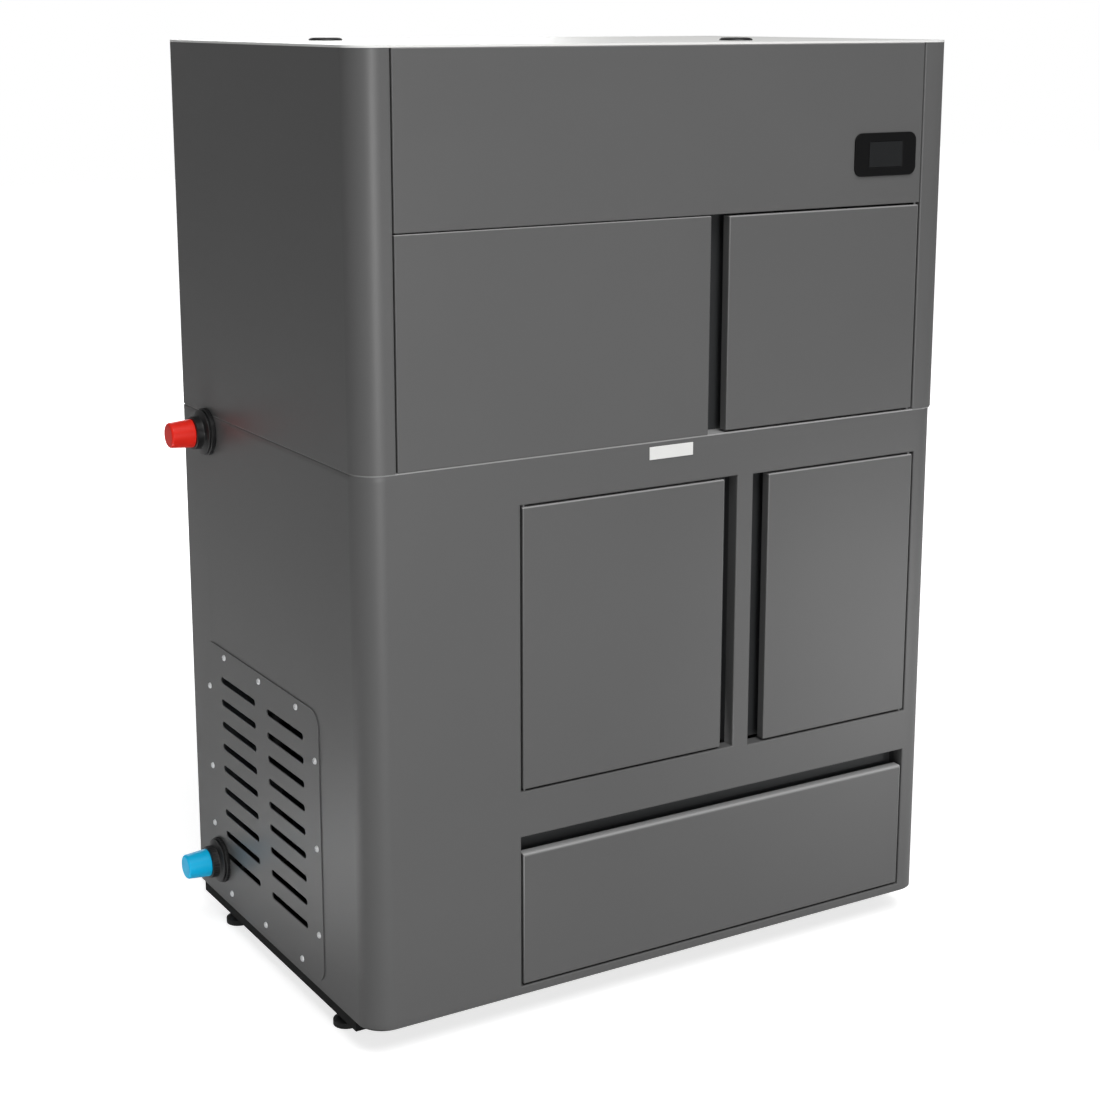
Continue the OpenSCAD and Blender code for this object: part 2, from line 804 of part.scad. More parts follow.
module main_switch() {
    color("#b01818") difference() {
        union() {
            rod_x(rocker_x, rocker_y, rocker_z, rocker_r, rocker_w);
            rod_x(rocker_x - 3, rocker_y, rocker_z, 1.5, rocker_w + 6);
        }
        translate([rocker_x - 5, rocker_y, rocker_z]) rotate([-rocker_turn / 2, 0, 0])
            slab(0, rocker_r - 4, -rocker_r - 5, rocker_w + 10, 2 * rocker_r, 2 * rocker_r + 10);
    }
}

hopper_x = lid_x + hopper_in;
hopper_y = lid_y + hopper_in;
hopper_w = lid_w - 2 * hopper_in;
hopper_d = lid_d - 2 * hopper_in;
hopper_top = casing_h - flange_d;
neck_x = auger_x + 120;
neck_w = 140;
neck_d = 44;
neck_z = auger_z + auger_r + auger_t + 6;

module hopper_bin() {
    rim = 10;
    z = slope_z + near;
    h = hopper_top - z;
    far_x = hopper_x + hopper_w - hopper_t;
    far_y = hopper_y + hopper_d - hopper_t;
    side_y = hopper_y + hopper_t + near;
    side_d = hopper_d - 2 * (hopper_t + near);
    color("#9a9c9e") {
        for (s = [[hopper_y, hopper_y - rim], [far_y, far_y]]) union() {
            slab(hopper_x, s[0], z, hopper_w, hopper_t, h);
            slab(hopper_x, s[1], hopper_top - hopper_t, hopper_w, rim + hopper_t, hopper_t);
        }
        for (s = [[hopper_x, hopper_x - rim], [far_x, far_x]]) union() {
            slab(s[0], side_y, z, hopper_t, side_d, h);
            slab(s[1], side_y, hopper_top - hopper_t, rim + hopper_t, side_d, hopper_t);
        }
    }
}

auger_end_t = 4;

// Funnel under the hopper with its neck, drawn in by its sheet for the inside
module funnel_form(t) {
    grow = t == 0 ? hopper_t : 0;
    side = neck_d / 2 + grow;
    low_z = auger_z + auger_r / 2 - t;
    hull() {
        slab(hopper_x + t, hopper_y + t, slope_z, hopper_w - 2 * t, hopper_d - 2 * t, near);
        slab(neck_x - grow, auger_y - side, neck_z, neck_w + 2 * grow, 2 * side, near);
    }
    slab(neck_x - grow, auger_y - side, low_z, neck_w + 2 * grow, 2 * side, neck_z - low_z + near);
    if (t > 0) slab(hopper_x + t, hopper_y + t, slope_z, hopper_w - 2 * t, hopper_d - 2 * t, 1);
}

module auger_tube() {
    plate = 84;
    top = auger_z + auger_r + auger_t;
    color("#7c7f82") difference() {
        union() {
            rod_x(auger_x, auger_y, auger_z, auger_r + auger_t, auger_l);
            for (x = [auger_x, auger_x + auger_l - auger_end_t])
                slab(x, auger_y - plate / 2, upper_bottom, auger_end_t, plate, top - upper_bottom);
            funnel_form(0);
        }
        funnel_form(hopper_t);
        rod_x(auger_x + auger_end_t, auger_y, auger_z, auger_r, auger_l - 2 * auger_end_t);
        rod_x(auger_x - 1, auger_y, auger_z, shaft_r + fit, auger_l + 2);
        rod_z(mid_x, auger_y, auger_z - 2 * auger_r, chute_r - 2, 2 * auger_r);
    }
}

module auger_screw() {
    flight_r = auger_r - auger_gap;
    length = auger_l - 2 * auger_end_t - 8;
    turns = length / auger_pitch;
    start = auger_x + auger_end_t + 4;
    color("#a8aaac") union() {
        rod_x(auger_x - 4, auger_y, auger_z, shaft_r, auger_l + 40);
        translate([start, auger_y, auger_z]) rotate([0, 90, 0])
            linear_extrude(length, twist = 360 * turns, slices = 16 * turns, segments = 4)
                translate([0, -flight_t * 1.5]) square([flight_r, flight_t * 3]);
    }
}

module auger_gearmotor() {
    x = auger_x + auger_l;
    gear = 70;
    color("#2b2d30") difference() {
        union() {
            slab(x, auger_y - 38, auger_z - 36, gear, 76, 72);
            rod_x(x + gear, auger_y, auger_z, 32, 80);
        }
        rod_x(x - 1, auger_y, auger_z, shaft_r + fit, 45);
    }
}

module drop_chute() {
    wall = 2;
    end_z = body_top - jacket_t - 8;
    color("#8c8f92") difference() {
        union() {
            rod_z(mid_x, auger_y, end_z, chute_r, auger_z - end_z);
            rod_z(mid_x, auger_y, upper_bottom, chute_r + 12, 3);
        }
        rod_z(mid_x, auger_y, end_z - 1, chute_r - wall, auger_z - end_z + 2);
        rod_x(auger_x - 20, auger_y, auger_z, auger_r + auger_t, auger_l);
    }
}

inner_x = body_x + jacket_t;
inner_y = body_y + jacket_t;
inner_w = body_w - 2 * jacket_t;
inner_d = body_d - 2 * jacket_t;
body_h = body_top - body_z;
baffle_y = body_y + baffle_in;
lug_h = 14;
lug_low = fire_z - fire_lap - seat_gap - lug_h;
lug_high = fire_z + fire_h + fire_lap + seat_gap;
flue_in_r = 34;
igniter_z = shelf_z - 18;
pot_rise = 30;

module boiler_body() {
    shelf_t = 5;
    lug_w = 20;
    baffle_low = 90;
    baffle_t = 6;
    color("#4b4e52") difference() {
        union() {
            difference() {
                slab(body_x, body_y, body_z, body_w, body_d, body_h);
                slab(inner_x, inner_y, body_z + jacket_t, inner_w, inner_d, body_h - 2 * jacket_t);
                slab(fire_x, body_y - 1, fire_z, fire_w, jacket_t + 2, fire_h);
                slab(tray_x + 20, inner_y + 20, body_z - 1, tray_w - 60, tray_l - 160, jacket_t + 2);
            }
            slab(inner_x, inner_y, shelf_z - shelf_t, inner_w, baffle_y - inner_y, shelf_t);
            slab(inner_x, baffle_y, body_z + jacket_t, inner_w, baffle_t, body_h - 2 * jacket_t - baffle_low);
            for (z = [lug_low, lug_high])
                slab(fire_pin_x - lug_w / 2, fire_pin_y - 10, z, lug_w, body_y - fire_pin_y + 10, lug_h);
        }
        rod_z(pot_x, auger_y, shelf_z - shelf_t - 1, pot_r + seat_gap, shelf_t + 2);
        slab(pot_x + 90, inner_y + 40, shelf_z - shelf_t - 1, 100, 200, shelf_t + 2);
        rod_z(mid_x, auger_y, body_top - jacket_t - 1, chute_r + 0.5, jacket_t + 2);
        rod_x(body_x + body_w - jacket_t - 1, auger_y, igniter_z, igniter_r + seat_gap, jacket_t + 2);
        rod_x(body_x + body_w - jacket_t - 1, fan_y, fan_z, flue_in_r, jacket_t + 2);
        for (z = [flow_z, return_top]) rod_x(body_x - 1, pipe_y, z, pipe_r - pipe_t, jacket_t + 2);
        rod_z(fire_pin_x, fire_pin_y, lug_low - 1, fire_pin_r + fit, lug_h + 2);
        rod_z(fire_pin_x, fire_pin_y, lug_high - 1, fire_pin_r + fit, lug_h + 2);
    }
}

fire_door_z = fire_z - fire_lap;
fire_door_h = fire_h + 2 * fire_lap;

module firebox_door() {
    color("#303234") union() {
        slab(fire_x - fire_lap, fire_door_y, fire_door_z, fire_w + 2 * fire_lap, fire_door_t, fire_door_h);
        rod_z(fire_pin_x, fire_pin_y, fire_door_z, fire_pin_r + 4, fire_door_h);
        rod_z(fire_pin_x, fire_pin_y, fire_door_z - lug_h, fire_pin_r, fire_door_h + 2 * lug_h);
    }
}

module door_seal() {
    wide = 8;
    color("#d9d2c0") difference() {
        slab(fire_x - wide - 4, fire_door_y + fire_door_t, fire_z - wide - 4,
            fire_w + 2 * wide + 8, seal_t, fire_h + 2 * wide + 8);
        slab(fire_x - 4, fire_door_y + fire_door_t - 1, fire_z - 4, fire_w + 8, seal_t + 2, fire_h + 8);
    }
}

module door_handle() {
    x = fire_x + fire_w - 12;
    z = fire_z + fire_h / 2 - 60;
    reach = 20;
    color("#1c1c1c") union() {
        for (dz = [10, 110]) rod_y(x, fire_door_y - reach, z + dz, 5, reach);
        rod_z(x, fire_door_y - reach + 7, z, 7, 120);
    }
}

module burner_pot() {
    wall = 4;
    top = shelf_z + pot_rise;
    color("#5b5148") difference() {
        union() {
            rod_z(pot_x, auger_y, top - pot_h, pot_r, pot_h);
            rod_z(pot_x, auger_y, shelf_z, pot_r + 10, 3);
        }
        rod_z(pot_x, auger_y, top - pot_h + wall, pot_r - wall, pot_h);
        for (a = [0:30:330]) translate([pot_x, auger_y, top - 18]) rotate([0, 90, a])
            cylinder(r = 2.5, h = pot_r + 20);
    }
}

module igniter() {
    start = pot_x + pot_r + seat_gap;
    color("#c9c2b4") rod_x(start, auger_y, igniter_z, igniter_r, body_x + body_w + 30 - start);
}

tubes_y = (baffle_y + 6 + inner_y + inner_d) / 2;
tubes_z = fire_z + 12;
tubes_top = body_top - jacket_t - tube_drop;
tube_step = inner_w / tube_count;

module exchanger_tubes() {
    plate_t = 5;
    wall = 3;
    chamber = inner_y + inner_d - baffle_y - 6;
    color("#6a6d70") difference() {
        union() {
            for (z = [tubes_z, tubes_top - plate_t])
                slab(inner_x, baffle_y + 6, z, inner_w, chamber, plate_t);
            for (i = [0:tube_count - 1])
                rod_z(inner_x + (i + 0.5) * tube_step, tubes_y, tubes_z, tube_r, tubes_top - tubes_z);
        }
        for (i = [0:tube_count - 1])
            rod_z(inner_x + (i + 0.5) * tube_step, tubes_y, tubes_z - 1, tube_r - wall, tubes_top - tubes_z + 2);
    }
}

module cleaning_comb() {
    strip = 2 * tube_r - 12;
    bar_z = tubes_top + seat_gap;
    color("#8f9295") union() {
        slab(inner_x + tube_step / 2 - 12, tubes_y - 12, bar_z, inner_w - tube_step + 24, 24, 6);
        for (i = [0:tube_count - 1])
            slab(inner_x + (i + 0.5) * tube_step - strip / 2, tubes_y - 1, tubes_z + 10, strip, 2, bar_z - tubes_z - 9);
    }
}

fan_x = body_x + body_w;
fan_wall = 3;
outlet_low = 10;
outlet_reach = rear_y - 12 - fan_y;
flue_x = fan_x + fan_w / 2;
flue_z = fan_z + (outlet_low + fan_r) / 2;
fan_shaft_r = 6;

module fan_housing() {
    color("#7b7e81") difference() {
        union() {
            rod_x(fan_x, fan_y, fan_z, fan_r, fan_w);
            slab(fan_x, fan_y, fan_z + outlet_low, fan_w, outlet_reach, fan_r - outlet_low);
        }
        rod_x(fan_x + fan_wall, fan_y, fan_z, fan_r - fan_wall, fan_w - 2 * fan_wall);
        slab(fan_x + fan_wall, fan_y, fan_z + outlet_low + fan_wall, fan_w - 2 * fan_wall,
            outlet_reach - fan_wall, fan_r - outlet_low - 2 * fan_wall);
        rod_x(fan_x - 1, fan_y, fan_z, flue_in_r, fan_wall + 2);
        rod_x(fan_x + fan_w - fan_wall - 1, fan_y, fan_z, fan_shaft_r + 2, fan_wall + 2);
        rod_y(flue_x, fan_y + outlet_reach - fan_wall - 1, flue_z, flue_r - flue_t, fan_wall + 2);
    }
}

module fan_impeller() {
    wheel_r = fan_r - 22;
    blade_w = fan_w - 40;
    start = fan_x + 22;
    color("#b0b2b4") union() {
        rod_x(start + blade_w, fan_y, fan_z, wheel_r, 3);
        rod_x(start + blade_w - 20, fan_y, fan_z, fan_shaft_r, fan_x + fan_w + 40 - start - blade_w);
        rod_x(start + blade_w - 12, fan_y, fan_z, fan_shaft_r + 8, 13);
        for (a = [0:30:330]) translate([start, fan_y, fan_z]) rotate([a, 0, 0])
            slab(0, wheel_r - 34, -1, blade_w + 1, 32, 2);
    }
}

module fan_motor() {
    x = fan_x + fan_w;
    color("#202224") difference() {
        rod_x(x, fan_y, fan_z, 42, 72);
        rod_x(x - 1, fan_y, fan_z, fan_shaft_r + fit, 40);
    }
}

rosette_t = 2;

module flue_spigot() {
    start = fan_y + outlet_reach;
    color("#a4a6a8") difference() {
        union() {
            rod_y(flue_x, start, flue_z, flue_r, casing_d + flue_out - start);
            rod_y(flue_x, start, flue_z, flue_r + 4, 3);
            rod_y(flue_x, casing_d, flue_z, flue_r + 8, rosette_t);
        }
        rod_y(flue_x, start - 1, flue_z, flue_r - flue_t, casing_d + flue_out - start + 2);
    }
}

intake_x = body_x + body_w / 2;

module air_intake() {
    start = body_y + body_d;
    color("#a4a6a8") difference() {
        union() {
            rod_y(intake_x, start, intake_z, intake_r, casing_d + intake_out - start);
            rod_y(intake_x, casing_d, intake_z, intake_r + 8, rosette_t);
        }
        rod_y(intake_x, start - 1, intake_z, intake_r - flue_t, casing_d + intake_out - start + 2);
    }
}

module flow_pipe() {
    reach = body_x + stub_out;
    color("#262626") difference() {
        rod_x(-stub_out, pipe_y, flow_z, pipe_r, reach);
        rod_x(-stub_out - 1, pipe_y, flow_z, pipe_r - pipe_t, reach + 2);
    }
}

riser_x = body_x / 2;
return_top = body_z + 75;

// Return line from the stub, up the riser and into the fired body, with round knees at the corners
module return_line(r, knee, past) {
    rod_x(-stub_out - past, pipe_y, return_z, r, stub_out + riser_x + past);
    rod_z(riser_x, pipe_y, return_z, r, return_top - return_z);
    rod_x(riser_x, pipe_y, return_top, r, body_x - riser_x + past);
    for (z = [return_z, return_top]) translate([riser_x, pipe_y, z]) sphere(knee);
}

module return_pipe() {
    bore = pipe_r - pipe_t;
    color("#262626") difference() {
        return_line(pipe_r, pipe_r + 4, 0);
        return_line(bore, bore + 1, 1);
    }
}

// Black collar round a pipe: disc, groove, flare and nut
module collar(z, seat) {
    groove = collar_disc + 1.5;
    rod_x(-collar_disc, pipe_y, z, collar_r, collar_disc - seat);
    rod_x(-groove, pipe_y, z, collar_r - 4, groove - seat);
    translate([-groove, pipe_y, z]) rotate([0, -90, 0])
        cylinder(r1 = collar_r - 1.5, r2 = collar_nut_r, h = collar_flare - groove);
    rod_x(-collar_l, pipe_y, z, collar_nut_r, collar_l - collar_flare);
}

module pipe_collars() {
    color("#1a1a1a") for (z = [flow_z, return_z]) difference() {
        collar(z, z == return_z ? grille_t : 0);
        rod_x(-collar_l - 1, pipe_y, z, pipe_r + fit, collar_l + 2);
    }
}

// Push-on cap of a pipe stub
module cap(z) {
    mouth = collar_l + seat_gap;
    translate([-mouth, pipe_y, z]) rotate([0, -90, 0]) difference() {
        cylinder(r1 = cap_r, r2 = cap_tip_r, h = cap_l - seat_gap);
        translate([0, 0, -1]) cylinder(r = pipe_r + cap_fit, h = stub_out - mouth + 2);
    }
}

module flow_cap() { color("#f02818") cap(flow_z); }
module return_cap() { color("#00a8f0") cap(return_z); }

module circulator_pump() {
    z = (return_z + return_top) / 2;
    color("#25282b") difference() {
        union() {
            rod_z(riser_x, pipe_y, z - 30, pipe_r + 9, 60);
            translate([riser_x, pipe_y - 90, z]) rotate([-90, 0, 0]) cylinder(r = 38, h = 76);
            translate([riser_x, pipe_y - 20, z]) rotate([-90, 0, 0]) cylinder(r = 30, h = 40);
        }
        rod_z(riser_x, pipe_y, z - 45, pipe_r + fit, 90);
    }
}

vessel_x = fan_x + 180;
vessel_y = 185;
vessel_z = fan_z + 80;

module expansion_vessel() {
    edge = 22;
    color("#b02020") translate([vessel_x, vessel_y, vessel_z]) rotate([-90, 0, 0]) union() {
        cylinder(r1 = vessel_r - edge, r2 = vessel_r, h = edge);
        translate([0, 0, edge]) cylinder(r = vessel_r, h = vessel_d - 2 * edge);
        translate([0, 0, vessel_d - edge]) cylinder(r1 = vessel_r, r2 = vessel_r - edge, h = edge);
    }
}

// Upright strip that carries the expansion vessel from the base frame's side bar
module vessel_bracket() {
    foot_x = lower_w - frame_inset - frame_bar;
    color("#8c8f92") union() {
        slab(vessel_x - 30, vessel_y + vessel_d, vessel_z - 30, foot_x - vessel_x + 60, 4, 60);
        slab(foot_x, vessel_y + vessel_d, sheet_t, 30, 4, vessel_z + 30 - sheet_t);
    }
}

in_cabinet() base_frame();
in_cabinet() foot_front_left();
in_cabinet() foot_front_right();
in_cabinet() foot_rear_left();
in_cabinet() foot_rear_right();
in_cabinet() lower_shell();
in_cabinet() vent_grille();
in_cabinet() grille_screws();
in_cabinet() rear_panel_lower();
in_cabinet() rear_panel_upper();
in_cabinet() mid_deck();
in_cabinet() upper_left_side();
in_cabinet() upper_right_side();
in_cabinet() top_panel();
in_cabinet() lifting_eye_caps();
in_cabinet() hopper_lid();
in_cabinet() fascia_panel();
in_cabinet() hopper_front_panel();
in_cabinet() upper_right_door();
in_cabinet() lower_left_door();
in_cabinet() lower_right_door();
in_cabinet() upper_channel();
in_cabinet() left_channel();
in_cabinet() right_channel();
in_cabinet() drawer_channel();
in_cabinet() drawer_front();
in_cabinet() ash_tray();
in_cabinet() drawer_runners();
in_cabinet() front_plate();
in_cabinet() display_bezel();
in_cabinet() display_screen();
in_cabinet() control_box();
in_cabinet() mains_inlet();
in_cabinet() main_switch();
in_cabinet() hopper_bin();
in_cabinet() auger_tube();
in_cabinet() auger_screw();
in_cabinet() auger_gearmotor();
in_cabinet() drop_chute();
in_cabinet() boiler_body();
in_cabinet() firebox_door();
in_cabinet() door_seal();
in_cabinet() door_handle();
in_cabinet() burner_pot();
in_cabinet() igniter();
in_cabinet() exchanger_tubes();
in_cabinet() cleaning_comb();
in_cabinet() fan_housing();
in_cabinet() fan_impeller();
in_cabinet() fan_motor();
in_cabinet() flue_spigot();
in_cabinet() air_intake();
in_cabinet() flow_pipe();
in_cabinet() return_pipe();
in_cabinet() pipe_collars();
in_cabinet() flow_cap();
in_cabinet() return_cap();
in_cabinet() circulator_pump();
in_cabinet() expansion_vessel();
in_cabinet() vessel_bracket();
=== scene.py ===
"""Dresses the pellet boiler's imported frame: folded sheet panels, stubs, feet, finishes, light and camera."""
import json
import logging
import math
from dataclasses import dataclass, field
from enum import Enum

import bmesh
import bpy
import numpy as np
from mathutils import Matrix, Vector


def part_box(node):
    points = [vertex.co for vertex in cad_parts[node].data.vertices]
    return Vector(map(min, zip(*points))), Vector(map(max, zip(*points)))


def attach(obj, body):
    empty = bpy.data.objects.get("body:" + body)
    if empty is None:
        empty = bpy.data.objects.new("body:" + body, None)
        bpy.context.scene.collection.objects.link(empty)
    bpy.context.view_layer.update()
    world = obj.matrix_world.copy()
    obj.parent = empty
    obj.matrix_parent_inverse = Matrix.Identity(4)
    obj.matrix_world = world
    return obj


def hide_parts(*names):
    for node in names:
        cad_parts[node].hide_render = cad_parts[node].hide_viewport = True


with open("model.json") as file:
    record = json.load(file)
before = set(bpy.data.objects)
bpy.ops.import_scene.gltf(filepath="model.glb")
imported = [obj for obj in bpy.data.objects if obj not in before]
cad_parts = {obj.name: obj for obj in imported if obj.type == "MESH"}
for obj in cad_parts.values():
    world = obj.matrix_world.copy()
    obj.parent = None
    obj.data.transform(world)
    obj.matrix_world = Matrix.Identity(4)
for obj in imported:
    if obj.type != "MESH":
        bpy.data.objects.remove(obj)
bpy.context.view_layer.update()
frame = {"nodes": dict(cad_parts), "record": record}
LOG = logging.getLogger("pellet_boiler")
MM = 0.001
# What counts as the same place and as a point on a panel's face, and the deepest front panel in metres.
TOUCH = 1e-6
ON_FACE = 1e-5
DEEPEST_PANEL = 0.05
WHITE = (1.0, 1.0, 1.0, 1.0)
Material = bpy.types.Material
Piece = bpy.types.Object
Spot = tuple[float, float, float]
Colour = tuple[float, float, float, float]
Outline = list[tuple[float, float]]


class Facing(Enum):
    """Which way a flat panel looks."""

    FRONT = "front"
    TOP = "top"
    LEFT = "left"


def srgb(code: str) -> Colour:
    """Turns a colour code into the linear values that a shader takes.

    Args:
        code: six hexadecimal digits.

    Returns:
        Red, green, blue and an alpha of one.
    """
    parts = [int(code[i:i + 2], 16) / 255 for i in (0, 2, 4)]
    return (*[p / 12.92 if p <= 0.04045 else ((p + 0.055) / 1.055) ** 2.4 for p in parts], 1.0)


def shade(colour: Colour, factor: float) -> Colour:
    """A colour with its red, green and blue times a factor, at most one."""
    return (*[min(1.0, c * factor) for c in colour[:3]], 1.0)


class Value:
    """A number socket that takes part in Python expressions and adds the Math nodes they need."""

    def __init__(self, graph: "Graph", socket: bpy.types.NodeSocket) -> None:
        """Wraps one output socket.

        Args:
            graph: the graph that holds the socket's node.
            socket: the output socket.
        """
        self.graph = graph
        self.socket = socket

    def _math(self, operation: str, first: object, second: object) -> "Value":
        """Adds one Math node for two numbers or values."""
        return self.graph.node("ShaderNodeMath", {"operation": operation}, {0: first, 1: second})

    def __add__(self, other: object) -> "Value":
        """Sum of this value and another."""
        return self._math("ADD", self, other)

    __radd__ = __add__

    def __mul__(self, other: object) -> "Value":
        """Product of this value and another."""
        return self._math("MULTIPLY", self, other)

    __rmul__ = __mul__


class Graph:
    """The node tree of one material or world, built from Python expressions."""

    def __init__(self, name: str, world: bool = False) -> None:
        """Makes an empty material or world with its output node.

        Args:
            name: the material's or the world's name.
            world: whether the tree belongs to a world.
        """
        self.material = (bpy.data.worlds if world else bpy.data.materials).new(name)
        self.material.use_nodes = True
        self.tree = self.material.node_tree
        self.tree.nodes.clear()
        self.output = self.tree.nodes.new("ShaderNodeOutputWorld" if world else "ShaderNodeOutputMaterial")

    def node(
        self, kind: str, settings: dict | None = None, inputs: dict | None = None, out: str | int = 0
    ) -> Value:
        """Adds any node, with its settings first and then its sockets.

        Args:
            kind: the node's type.
            settings: attributes of the node, such as a Math node's operation.
            inputs: values or links by socket name or number.
            out: the output socket's name or number.

        Returns:
            The chosen output as a value.
        """
        made = self.tree.nodes.new(kind)
        for key, value in (settings or {}).items():
            setattr(made, key, value)
        for key, value in (inputs or {}).items():
            if isinstance(value, Value):
                self.tree.links.new(value.socket, made.inputs[key])
            else:
                made.inputs[key].default_value = value
        return Value(self, made.outputs[out])

    def place(self) -> Value:
        """The point in object coordinates."""
        return self.node("ShaderNodeTexCoord", out="Object")

    def noise(self, scale: float, detail: float = 3.0, stretch: Spot | None = None) -> Value:
        """Soft noise on object coordinates.

        Args:
            scale: cycles per metre.
            detail: octaves.
            stretch: factors along X, Y and Z, for brushed or drawn grain.

        Returns:
            A value between nought and one.
        """
        where = self.place()
        if stretch:
            where = self.node("ShaderNodeMapping", inputs={"Vector": where, "Scale": stretch})
        inputs = {"Vector": where, "Scale": scale, "Detail": detail}
        return self.node("ShaderNodeTexNoise", inputs=inputs, out="Fac")

    def mix(self, factor: object, first: object, second: object) -> Value:
        """Blends two colours by a factor."""
        return self.node("ShaderNodeMix", {"data_type": "RGBA"}, {"Factor": factor, 6: first, 7: second}, 2)

    def bump(self, height: Value, strength: float, distance: float) -> Value:
        """Turns a height into a normal."""
        inputs = {"Height": height, "Strength": strength, "Distance": distance}
        return self.node("ShaderNodeBump", inputs=inputs)

    def surface(self, inputs: dict, kind: str = "ShaderNodeBsdfPrincipled") -> Material:
        """Ends the graph in one shader.

        Args:
            inputs: values or links of the shader's sockets.
            kind: the shader's type.

        Returns:
            The finished material or world.
        """
        shader = self.node(kind, inputs=inputs)
        self.tree.links.new(shader.socket, self.output.inputs["Surface"])
        return self.material


@dataclass(frozen=True)
class PowderCoat:
    """Baked powder paint: a fine orange peel, faint clouds in the colour, satin gloss."""

    name: str
    colour: str
    roughness: float = 0.36
    cloud: float = 0.06
    peel: float = 900.0
    peel_depth: float = 0.00006
    gloss: float = 0.5
    # colour of the painted highlight on up-facing folds, none if empty
    rim: str = ""

    def build(self) -> Material:
        """Makes the paint; folds marked as "rim" get a painted highlight, a paler colour in place of the light
        line on real bends.

        Returns:
            The material.
        """
        g = Graph(self.name)
        base = srgb(self.colour)
        clouds = g.noise(scale=3.5, detail=2.0)
        grain = g.noise(self.peel, detail=2.0)
        colour = g.mix(clouds * 0.8 + grain * 0.2, shade(base, 1 - self.cloud), shade(base, 1 + self.cloud))
        if self.rim:
            # painted highlight: the rim attribute blends in the paler rim colour where a fold faces up
            fold = g.node("ShaderNodeAttribute", {"attribute_name": "rim"}, out="Fac")
            colour = g.mix(fold, colour, srgb(self.rim))
        return g.surface({
            "Base Color": colour,
            "Roughness": grain * 0.08 + clouds * 0.06 + (self.roughness - 0.07),
            "Normal": g.bump(grain, strength=0.35, distance=self.peel_depth),
            "Specular IOR Level": self.gloss,
        })


@dataclass(frozen=True)
class BareMetal:
    """Rolled, drawn or galvanised metal, with grain along one axis and dull clouds."""

    name: str
    colour: str
    roughness: float = 0.34
    grain: Spot = (1.0, 1.0, 12.0)
    spangle: float = 0.0
    tint: str | None = None
    metallic: float = 0.9

    def build(self) -> Material:
        """Makes the metal.

        Returns:
            The material.
        """
        g = Graph(self.name)
        base = srgb(self.colour)
        other = srgb(self.tint) if self.tint else shade(base, 0.78)
        streak = g.noise(scale=160.0, stretch=self.grain)
        cloud = g.noise(scale=14.0)
        factor = streak * 0.35 + cloud * 0.65
        if self.spangle:
            where = {"Vector": g.place(), "Scale": self.spangle}
            cells = g.node("ShaderNodeTexVoronoi", {"feature": "F1"}, where, "Color")
            tone = g.node("ShaderNodeSeparateColor", inputs={"Color": cells}, out="Red")
            factor = tone * 0.6 + cloud * 0.4
        return g.surface({
            "Base Color": g.mix(factor, base, other),
            "Metallic": self.metallic,
            "Roughness": factor * 0.22 + (self.roughness - 0.1),
            "Normal": g.bump(streak, strength=0.2, distance=0.0001),
        })


@dataclass(frozen=True)
class Moulded:
    """Moulded plastic or rubber: a fine spark-eroded texture under a given gloss."""

    name: str
    colour: str
    roughness: float = 0.45
    texture: float = 1400.0
    depth: float = 0.00005
    coat: float = 0.0
    gloss: float = 0.5

    def build(self) -> Material:
        """Makes the plastic.

        Returns:
            The material.
        """
        g = Graph(self.name)
        base = srgb(self.colour)
        speck = g.noise(self.texture, detail=2.0)
        cloud = g.noise(scale=22.0, detail=2.0)
        return g.surface({
            "Base Color": g.mix(cloud, base, shade(base, 0.86)),
            "Roughness": speck * 0.12 + (self.roughness - 0.06),
            "Coat Weight": self.coat,
            "Specular IOR Level": self.gloss,
            "Normal": g.bump(speck, strength=0.3, distance=self.depth),
        })


@dataclass(frozen=True)
class ScorchedIron:
    """Cast or welded iron in heat-proof paint, with soot and a rough skin."""

    name: str
    colour: str
    soot: str = "1c1a19"
    roughness: float = 0.62

    def build(self) -> Material:
        """Makes the iron.

        Returns:
            The material.
        """
        g = Graph(self.name)
        skin = g.noise(scale=260.0, detail=4.0)
        patch = g.noise(scale=9.0, detail=4.0)
        return g.surface({
            "Base Color": g.mix(patch * patch, srgb(self.colour), srgb(self.soot)),
            "Roughness": skin * 0.2 + (self.roughness - 0.1),
            "Metallic": 0.25,
            "Normal": g.bump(skin, strength=0.5, distance=0.0003),
        })


@dataclass(frozen=True)
class RopeFibre:
    """Braided glass rope: a slanted twill of light and dark strands."""

    name: str
    colour: str

    def build(self) -> Material:
        """Makes the rope.

        Returns:
            The material.
        """
        g = Graph(self.name)
        twill = {"Vector": g.place(), "Scale": 110.0, "Distortion": 2.0}
        wave = g.node("ShaderNodeTexWave", {"bands_direction": "DIAGONAL"}, twill, "Fac")
        base = srgb(self.colour)
        return g.surface({
            "Base Color": g.mix(wave, shade(base, 0.6), base),
            "Roughness": 0.9,
            "Normal": g.bump(wave, strength=0.6, distance=0.0006),
        })


def new_object(name: str, data: bpy.types.ID) -> Piece:
    """Makes an object of a mesh, a light or a camera and links it to the scene.

    Args:
        name: the object's name.
        data: what it shows.

    Returns:
        The object, at the origin.
    """
    made = bpy.data.objects.new(name, data)
    bpy.context.scene.collection.objects.link(made)
    return made


def shade_smooth(data: bpy.types.Mesh, under: float) -> None:
    """Shades a mesh smooth, apart from edges that turn more than an angle in degrees."""
    data.polygons.foreach_set("use_smooth", np.ones(len(data.polygons), dtype=bool))
    data.set_sharp_from_angle(angle=math.radians(under))


